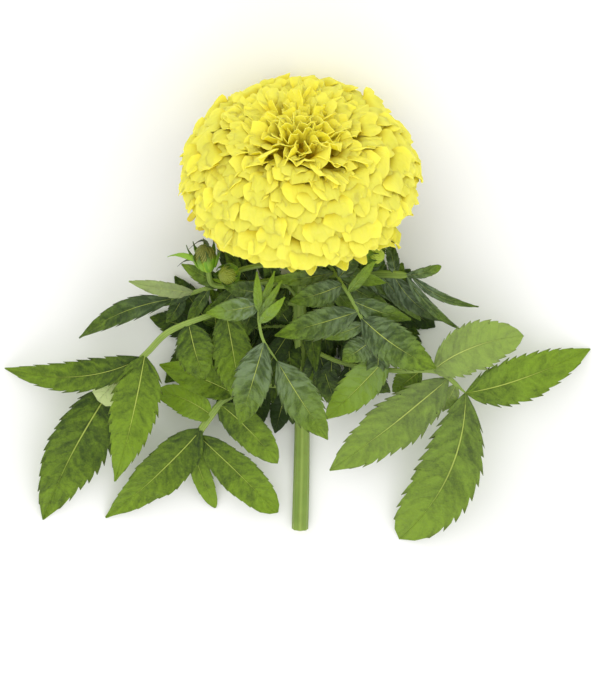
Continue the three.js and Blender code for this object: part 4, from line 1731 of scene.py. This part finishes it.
LEAVES = (
    Leaf(
        "leaf_left_large",
        ((0, 60, 12.5), (-18, 64, 26), (-38, 61, 38), (-52, 55, 38), (-61, 44, 30), (-74, 28, 18)),
        (
            Leaflet(0.8, (-118, 30, 1), 12.5, 8, 20, sway=-0.06),
            Leaflet(1.0, (-103, -33, 0), 24, 5, -8, widest=0.42, sway=0.04),
            Leaflet(0.78, (-74, -13, 15), 19, 5, 6, widest=0.36, full=1.05, fresh=0.12),
            Leaflet(0.52, (-38, 32, 26), 15, 4, -10), Leaflet(0.36, (-23, 21, 27), 16, 5, 8),
        ),
        extra=(Leaflet(0.84, (-80.5, 22, 21), 13, 0, 12, widest=0.64, full=0.4, pale=0.9),),
        tone=0.45, wing=0.25, slim=0.95,
    ),
    Leaf(
        "leaf_left_upper",
        ((-0.5, 66, 14), (-15, 70, 19), (-34, 70, 25), (-50, 65, 25)),
        (
            Leaflet(1.0, (-88, 45, 10), 9, 7, 24, full=1.05, sway=0.09),
            Leaflet(0.84, (-68, 71, 20), 6.6, 3, -10, fresh=0.2, pale=0.35),
            Leaflet(0.6, (-47, 79, 24), 7, 3, 0), Leaflet(0.92, (-53, 54, 20), 6, 2, 0),
            Leaflet(0.4, (-30, 86, 22), 8, 2, 0), Leaflet(0.3, (-25, 44, 15), 9, 2, 0),
        ),
        extra=(
            Leaflet(0.2, (-13, 83, 23), 7, 2, 20), Leaflet(0.32, (-29, 54, 20), 6, 2, -20),
            Leaflet(0.48, (-38, 55, 21), 6, 2, 12), Leaflet(0.52, (-25, 82, 25), 5.5, 2, 0),
            Leaflet(0.7, (-40, 81, 25), 5, 2, -14, fresh=0.1), Leaflet(0.72, (-45, 53, 19), 5, 2, 0),
            Leaflet(0.38, (-36, 75, 31), 2.8, 2, 0, fresh=0.75),
            Leaflet(0.15, (-20, 60, 24), 3.4, 2, 0, fresh=0.6), Leaflet(0.86, (-60, 62, 22), 4.5, 2, 20),
            Leaflet(0.4, (-23, 92, 18), 9, 2, 0, fresh=-0.2),
            Leaflet(0.5, (-32, 91, 16), 8, 2, 0, fresh=-0.2),
            Leaflet(0.24, (-14, 92, 20), 9, 2, 0, fresh=-0.2), Leaflet(0.1, (-9, 56, 22), 5, 2, 0),
        ),
        tone=0.3, dust=0.15,
    ),
    Leaf(
        "leaf_low_left",
        ((0.8, 22, 6.5), (-14, 26, 12), (-29, 22, 17), (-38, 11, 16), (-43, 1, 12)),
        (
            Leaflet(0.84, (-78, -32, 0.4), 18.5, 5, -8, widest=0.4, full=1.0),
            Leaflet(0.5, (-56, 35, 14), 13, 4, 12, sway=0.06),
            Leaflet(0.72, (-57, 22, 6), 12, 4, 0, full=0.6, sway=0.08, fresh=0.12),
            Leaflet(0.62, (-9, -6, 13), 14, 4, 6, full=0.66, sway=-0.04),
            Leaflet(0.9, (-9, -29, 4), 15.5, 5, 4, widest=0.52, full=0.62, sway=-0.04, fresh=-0.12),
            Leaflet(1.0, (-34, -28, 0.4), 8, 3, 0, full=0.6, fresh=0.15),
        ),
        extra=(
            # painted shade: these low leaflets under the others are darkened
            Leaflet(0.12, (-10, 4, 4), 9, 2, 10, fresh=-0.6),
            Leaflet(0.28, (-20, 4, 6), 10, 2, 0, fresh=-0.6),
            Leaflet(0.2, (-14, 44, 6), 9, 2, 0, fresh=-0.6),
            Leaflet(0.06, (-3, 8, 5), 8, 2, 0, fresh=-0.6),
        ),
        tone=0.6, blunt=True, wing=0.4, slim=0.95,
    ),
    Leaf(
        "leaf_front_left",
        ((-0.4, 62, 13), (-9, 74, 33), (-16, 67, 47), (-15, 56, 50), (-9, 45, 46)),
        (
            Leaflet(1.0, (11, 8, 28), 15, 4, -14, full=1.0),
            Leaflet(0.84, (-24, 16, 35), 14.5, 4, 14, full=1.0),
            Leaflet(0.6, (-37, 64, 43), 9, 3, 8), Leaflet(0.66, (-17, 83, 51), 3.6, 1, 0, fresh=0.45),
            Leaflet(0.72, (-6, 74, 56), 4.5, 1, 0, fresh=0.45),
        ),
        extra=(
            Leaflet(0.62, (-10, 83, 50), 3.4, 2, 30, fresh=0.45),
            Leaflet(0.68, (-7, 80, 53), 3.2, 2, -30, fresh=0.35),
            Leaflet(0.5, (-30, 74, 40), 8, 2, 10), Leaflet(0.9, (-26, 40, 42), 8, 2, 14, fresh=0.1),
        ),
        tone=0.43, dust=0.6, wing=0.15, slim=0.55,
    ),
    Leaf(
        "leaf_front_right",
        ((0, 74, 16.5), (10, 81, 30), (18, 74, 44), (24, 63, 44), (29, 51, 37), (35, 43, 31)),
        (
            Leaflet(0.62, (-10, 54, 40), 12, 3, 4, full=1.0), Leaflet(0.45, (-4, 68, 40), 10.5, 3, -6),
            Leaflet(0.66, (54, 40, 38), 16, 5, -8, fresh=-0.15), Leaflet(0.84, (17, 41, 30), 11, 2, 0),
            Leaflet(1.0, (10, 14, 19), 14.5, 4, 8, fresh=0.28),
        ),
        extra=(
            Leaflet(0.3, (34, 74, 34), 8, 2, 20), Leaflet(0.55, (44, 60, 38), 9, 2, 10),
            Leaflet(0.75, (42, 48, 34), 8, 2, -20), Leaflet(0.9, (30, 28, 22), 9, 2, 0),
            Leaflet(0.25, (-6, 80, 34), 6, 2, 10), Leaflet(0.4, (24, 90, 34), 7, 2, 0),
            Leaflet(0.5, (30, 84, 36), 5, 2, 20, fresh=0.3), Leaflet(0.7, (8, 52, 36), 7, 2, -14),
            Leaflet(0.95, (22, 22, 20), 8, 2, 10), Leaflet(0.35, (-13, 76, 36), 6, 3, 10),
            Leaflet(0.42, (1, 66, 38), 5.5, 2, -20), Leaflet(0.2, (-2, 84, 33), 6, 2, 0, fresh=-0.1),
        ),
        tone=0.42, dust=0.45, wing=0.15, slim=0.65,
    ),
    Leaf(
        "leaf_right_large",
        ((0.4, 42, 9.4), (18, 37, 20), (38, 36, 27), (55, 36, 29), (66, 26, 24)),
        (
            Leaflet(0.76, (89, 47, 14), 20, 6, 0, widest=0.5, full=0.66, sway=-0.12, pale=0.16),
            Leaflet(1.0, (116, 38, 0.4), 18, 7, -10),
            Leaflet(
                1.0, (40, -41, 0.4), 25, 8, 10, widest=0.55, full=0.6, sway=-0.085, fresh=-0.06, pale=0.04
            ),
            Leaflet(0.86, (12, -9, 13), 21, 5, -6, widest=0.44, fresh=-0.1, pale=0.08),
        ),
        extra=(
            # painted shade: these low leaflets under the others are darkened
            Leaflet(0.12, (16, 12, 4), 10, 2, 10, fresh=-0.5),
            Leaflet(0.3, (24, 16, 6), 11, 2, 0, fresh=-0.5),
            Leaflet(0.2, (12, 26, 6), 8, 2, 0, fresh=-0.45),
            Leaflet(0.34, (36, 22, 8), 9, 2, 0, fresh=-0.45),
            Leaflet(0.08, (6, 18, 5), 9, 2, 0, fresh=-0.5),
            Leaflet(0.26, (30, 55, 12), 9, 2, 0, fresh=-0.45),
            Leaflet(0.7, (37, 25, 18), 10, 1, 10, fresh=-0.05),
            Leaflet(0.92, (57, 16.5, 17), 6.5, 1, 0, pale=0.15),
        ),
        tone=0.62, dust=0.05, wing=0.25, slim=0.8,
    ),
    Leaf(
        "leaf_right_upper",
        ((0.2, 70, 15), (16, 73, 19), (32, 76, 28), (44, 77, 34)),
        (
            Leaflet(0.95, (56, 81, 35), 4.6, 2, 10, full=0.5, widest=0.6, fresh=0.05),
            Leaflet(1.0, (71, 60, 18), 3.6, 4, -16, sway=0.06),
            Leaflet(0.96, (64, 51, 20), 4.2, 4, 16, sway=0.05),
            Leaflet(0.84, (57, 53, 14), 8, 4, 10, fresh=-0.2, sway=0.06),
            Leaflet(0.72, (48, 53, 13), 7, 3, 0, fresh=-0.1), Leaflet(0.86, (35, 89, 20), 5, 2, 0),
            Leaflet(0.3, (36, 60, 20), 8, 3, 0),
        ),
        extra=(
            Leaflet(0.45, (40, 66, 24), 6, 2, 10), Leaflet(0.55, (44, 60, 20), 5, 2, -10, fresh=0.1),
            Leaflet(0.4, (22, 90, 24), 6, 2, 0), Leaflet(0.62, (34, 88, 27), 4, 2, 0),
            Leaflet(0.2, (22, 58, 20), 7, 2, 10), Leaflet(0.12, (14, 54, 18), 6, 2, 0),
        ),
        tone=0.32, dust=0.6, wing=0.7,
    ),
    Leaf(
        "leaf_back_left",
        ((-0.2, 50, 8.5), (-12, 48, 4), (-26, 47, 1.2), (-38, 46, 0.8)),
        (
            Leaflet(1.0, (-60, 51, 0.4), 12, 1, 0), Leaflet(0.9, (-50, 68, 0.4), 11, 1, 0),
            Leaflet(0.88, (-54, 24, 0.4), 14, 1, 0), Leaflet(0.55, (-28, 80, 0.4), 13, 1, 0),
            Leaflet(0.5, (-32, 8, 0.4), 17, 1, 0), Leaflet(0.24, (-9, 14, 0.4), 14, 1, 0),
        ),
        # painted shade: the darkest tone, for a back leaf lying flat under the rest
        filler=24, tone=0.06, wing=0.2,
    ),
    Leaf(
        "leaf_back_right",
        ((0, 58, 10), (14, 60, 4), (26, 60, 1.2), (38, 58, 0.8)),
        (
            Leaflet(1.0, (54, 47, 0.4), 13, 1, 0), Leaflet(0.9, (44, 71, 0.4), 12, 1, 0),
            Leaflet(0.85, (48, 26, 0.4), 16, 1, 0), Leaflet(0.55, (27, 18, 0.4), 17, 1, 0),
            Leaflet(0.5, (26, 84, 0.4), 14, 1, 0), Leaflet(0.22, (9, 24, 0.4), 13, 1, 0),
        ),
        # painted shade: the darkest tone, for a back leaf lying flat under the rest
        filler=24, tone=0.06, wing=0.2,
    ),
)


# ------------------------------------------------------------------ buds


@dataclass(frozen=True)
class Strand:
    """A narrow blade: the points of its course, its width in millimetres, how green and how dry."""

    course: tuple[Point, ...]
    width: float
    fresh: float = 0.0
    dry: float = 0.0


@dataclass
class Bud:
    """A side bud: its thin stalk, a ribbed cup with folded florets, and bracts that stand round it.

    `radius` and `length` are the cup's, and `ripe` runs from 0, a green top, to 1, a brown one.
    """

    node: str
    stalk: tuple[Point, ...]
    radius: float
    length: float
    ripe: float = 0.5
    strands: tuple[Strand, ...] = ()
    bracts: int = 9
    stalk_radius: float = 1.05
    thickness: float = 0.3

    def build(self, clothes: Wardrobe, offset: Array, rng: random.Random) -> None:
        """Builds the bud.

        Args:
            clothes: The finishes.
            offset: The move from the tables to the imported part's frame.
            rng: Source of small differences.
        """
        rings, sides = 30, 16
        path = Path(self.stalk)
        share = np.linspace(0, 1, rings)
        level, across = path.sides(share)
        radii = np.full((rings, sides), self.stalk_radius * MM)
        stalk = tube(f"{self.node}_stalk", path.at(share) + offset, level, across, radii)
        dress(stalk, clothes.stalk, self.node)
        seat = (path.at(1.0) + offset, level[-1], across[-1], path.heading(1.0))
        self._cup(clothes, seat)
        self._ring(clothes, seat, offset, rng)

    def _cup(self, clothes: Wardrobe, seat: tuple[Array, Array, Array, Array]) -> None:
        """Builds the ribbed cup, whose top is swirled into folds.

        Args:
            clothes: The finishes.
            seat: The stalk's end, two directions across it and the one it heads in.
        """
        start, level, across, axis = seat
        shares = (0, 0.02, 0.24, 0.52, 0.76, 0.93, 1.0)
        reaches = (0.3, 0.45, 0.86, 0.97, 0.86, 0.5, 0.1)
        rings, sides = 40, 72
        along = np.linspace(0, 1, rings)[:, None]
        angle = 2 * math.pi * np.arange(sides)[None, :] / sides
        reach = np.interp(along[:, 0], shares, reaches)[:, None] * self.radius
        ribs = 0.06 * np.abs(np.cos(4 * angle)) ** 0.6 * np.sin(math.pi * along)
        folds = 0.13 * np.abs(np.cos(7.5 * angle + 9 * along)) * eased(along, 0.6, 0.8)
        centres = start + axis * (along * (self.length + 1) - 1) * MM
        wide = (rings, 3)
        piece = tube(
            f"{self.node}_cup", centres, np.broadcast_to(level, wide), np.broadcast_to(across, wide),
            reach * (0.93 + ribs - folds) * MM,
        )
        mark(piece, "ripe", self.ripe)
        dress(piece, clothes.bud, self.node)

    def _ring(
        self, clothes: Wardrobe, seat: tuple[Array, Array, Array, Array], offset: Array, rng: random.Random
    ) -> None:
        """Builds the bracts, from the foot of the cup to curled points round its top.

        Args:
            clothes: The finishes.
            seat: The stalk's end, two directions across it and the one it heads in.
            offset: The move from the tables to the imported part's frame.
            rng: Source of small differences.
        """
        start, level, across, axis = seat
        faces = 8
        blank = flat_blank("bract", 4, faces)
        row = lines_of(placed(blank)[:, 1], faces)
        for number in range(faces + 1):
            share = number / faces
            width = 0.5 + 0.5 * math.sin(math.pi * min(share * 1.3, 1)) - 0.42 * share**2
            pick_points(blank, row == number)
            bpy.ops.transform.resize(value=(width, 1, 1), center_override=(0, 0, 0))
        bpy.ops.object.mode_set(mode="OBJECT")
        made = []
        for number in range(self.bracts):
            angle = 2 * math.pi * (number + spread(rng, 0.25)) / self.bracts
            away = level * math.cos(angle) + across * math.sin(angle)
            flare = rng.choice((0.6, 0.8, 0.95, 1.4))
            top = rng.uniform(0.75, 1.05)
            arch = Arch(
                start + (away * 0.8 * self.radius + axis * 0.12 * self.length) * MM,
                start + (away * 1.35 * self.radius + axis * 0.55 * self.length) * MM,
                start + (away * flare * self.radius + axis * top * self.length) * MM,
            )
            made.append(self._bract(blank, arch, away, 2 * rng.uniform(1.0, 1.5), fresh=0.0, dry=0.0))
        for strand in self.strands:
            course = [np.array(point) * MM + offset for point in strand.course]
            marks = {"fresh": strand.fresh, "dry": strand.dry}
            made.append(self._bract(blank, Arch(*course), UP, strand.width, **marks))
        remove(blank)
        piece = thickened(joined(made, f"{self.node}_bracts"), self.thickness * MM)
        dress(piece, clothes.bract, self.node)

    @staticmethod
    def _bract(
        blank: bpy.types.Object, arch: Arch, away: Array, width: float, **marks: float
    ) -> bpy.types.Object:
        """Lays one bract along its course.

        Args:
            blank: The flat bract.
            arch: Its course.
            away: The direction that its back faces.
            width: Its width, in millimetres.
            **marks: Numbers for its finish.

        Returns:
            The bract, as an open sheet.
        """
        flat = placed(blank)
        out, along = flat[:, 0], (flat[:, 1] + 1) / 2
        heading = arch.heading(along)
        side = unit(np.cross(heading, away))
        normal = np.cross(side, heading)
        half = width / 2 * MM
        depth = 0.35 * half * out**2
        points = arch.at(along) + side * (out * half)[:, None] - normal * depth[:, None]
        return grown_copy(blank, points, **marks)


BUDS = (
    Bud(
        "bud_left",
        ((-0.4, 73, 16), (-18, 72, 26), (-34.6, 72.4, 30.4), (-36.4, 79.8, 33.4)),
        4.7, 11.5, 0.85,
        strands=(
            Strand(((-39, 82, 34.5), (-47, 88, 37), (-52.5, 84.4, 33)), 2.4, fresh=0.8),
            Strand(((-36, 86, 36.5), (-36, 98, 41), (-44, 88.3, 36)), 1.1, dry=0.9),
            Strand(((-38, 81.5, 34), (-44, 86, 34), (-48.6, 80.4, 33)), 1.0, dry=0.8),
        ),
    ),
    Bud("bud_middle", ((-0.2, 78, 18), (-11, 79.5, 25), (-22, 78.5, 29), (-26, 78.5, 35)), 4.3, 9, 0.6),
    Bud("bud_right", ((0.2, 79.5, 18.4), (12, 82.8, 24), (24.5, 84.2, 30)), 4, 10, 0.1),
)


# ------------------------------------------------------------------ studio


@dataclass(frozen=True)
class Lamp:
    """A square soft lamp: its place and side in metres, and its power in watts."""

    name: str
    spot: Point
    side: float
    power: float


@dataclass
class Studio:
    """A pale floor, soft lamps, and a camera that looks down with the bloom at the top.

    The camera leans by `tip_over` degrees from straight down, aims at a point on the plant from
    `distance` metres and takes in `view_height` millimetres from top to bottom. The lamps face the
    place `lit`, in metres, and `sky` is how strong the white light from all round is.
    """

    tip_over: float = -15
    aim: Point = (0, 37.3, 0)
    distance: float = 5.0
    view_height: float = 280
    sensor: float = 36
    lamps: tuple[Lamp, ...] = (
        Lamp("key", (-0.5, 0.7, 1.25), 1.3, 7), Lamp("fill", (0.8, 0.3, 1.1), 1.4, 4.5),
        Lamp("front", (0.0, -0.9, 0.9), 1.2, 3.5),
    )
    lit: Point = (0, 0.02, 0.03)
    sky: float = 0.86
    floor_side: float = 8

    def build(self, clothes: Wardrobe, offset: Array) -> None:
        """Builds the floor, the camera, the lamps and the sky.

        Args:
            clothes: The finishes.
            offset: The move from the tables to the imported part's frame.
        """
        self._floor(clothes)
        self._camera(offset)
        for lamp in self.lamps:
            self._hang(lamp)
        bpy.context.scene.view_settings.view_transform = "Standard"
        world = bpy.context.scene.world or bpy.data.worlds.new("studio")
        bpy.context.scene.world = world
        world.use_nodes = True
        back = world.node_tree.nodes["Background"]
        back.inputs["Color"].default_value = (1, 1, 1, 1)
        back.inputs["Strength"].default_value = self.sky

    def _floor(self, clothes: Wardrobe) -> None:
        """Lays the floor.

        Args:
            clothes: The finishes.
        """
        deselect_all()
        bpy.ops.mesh.primitive_plane_add(size=self.floor_side, location=(0, 0, 0))
        floor = bpy.context.object
        floor.name = "floor"
        floor.data.materials.append(clothes.floor)

    def _camera(self, offset: Array) -> None:
        """Aims the camera down at the flower.

        Args:
            offset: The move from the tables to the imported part's frame.
        """
        turn = math.radians(self.tip_over)
        away = np.array((0, -math.sin(turn), math.cos(turn)))
        spot = np.array(self.aim) * MM + offset + away * self.distance
        data = bpy.data.cameras.new("camera")
        data.sensor_width = self.sensor
        data.lens = self.sensor * self.distance / (self.view_height * MM)
        camera = bpy.data.objects.new("camera", data)
        camera.location = spot
        camera.rotation_euler = (turn, 0, 0)
        bpy.context.collection.objects.link(camera)
        bpy.context.scene.camera = camera

    def _hang(self, lamp: Lamp) -> None:
        """Hangs a lamp so that it faces the flower.

        Args:
            lamp: The lamp.
        """
        data = bpy.data.lights.new(lamp.name, "AREA")
        data.size = lamp.side
        data.energy = lamp.power
        holder = bpy.data.objects.new(lamp.name, data)
        direction = -unit(np.array(lamp.spot) - np.array(self.lit))
        holder.location = lamp.spot
        holder.rotation_euler = (
            math.acos(-direction[2]), 0.0, math.atan2(direction[1], direction[0]) - math.pi / 2
        )
        bpy.context.collection.objects.link(holder)


# ------------------------------------------------------------------ assembly


def main() -> None:
    """Builds the studio and the flower."""
    logging.basicConfig(level=logging.INFO, format="%(name)s %(message)s")
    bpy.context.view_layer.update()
    clothes = Wardrobe()
    stem = Stem()
    offset = stem.offset()
    LOG.info("plant moved by %s mm", np.round(offset / MM, 3))
    Studio().build(clothes, offset)
    bloom = Bloom()
    bloom.build(clothes, offset)
    Calyx().build(clothes, np.array(bloom.matrix(offset)))
    stem.build(clothes, offset)
    rng = random.Random(GREENERY_SEED)
    sharp, blunt = Blanks(SHARP_TEETH), Blanks(BLUNT_TEETH)
    for leaf in LEAVES:
        leaf.build(clothes, blunt if leaf.blunt else sharp, offset, rng)
    sharp.clear()
    blunt.clear()
    for bud in BUDS:
        bud.build(clothes, offset, rng)


if __name__ == "__main__":
    main()
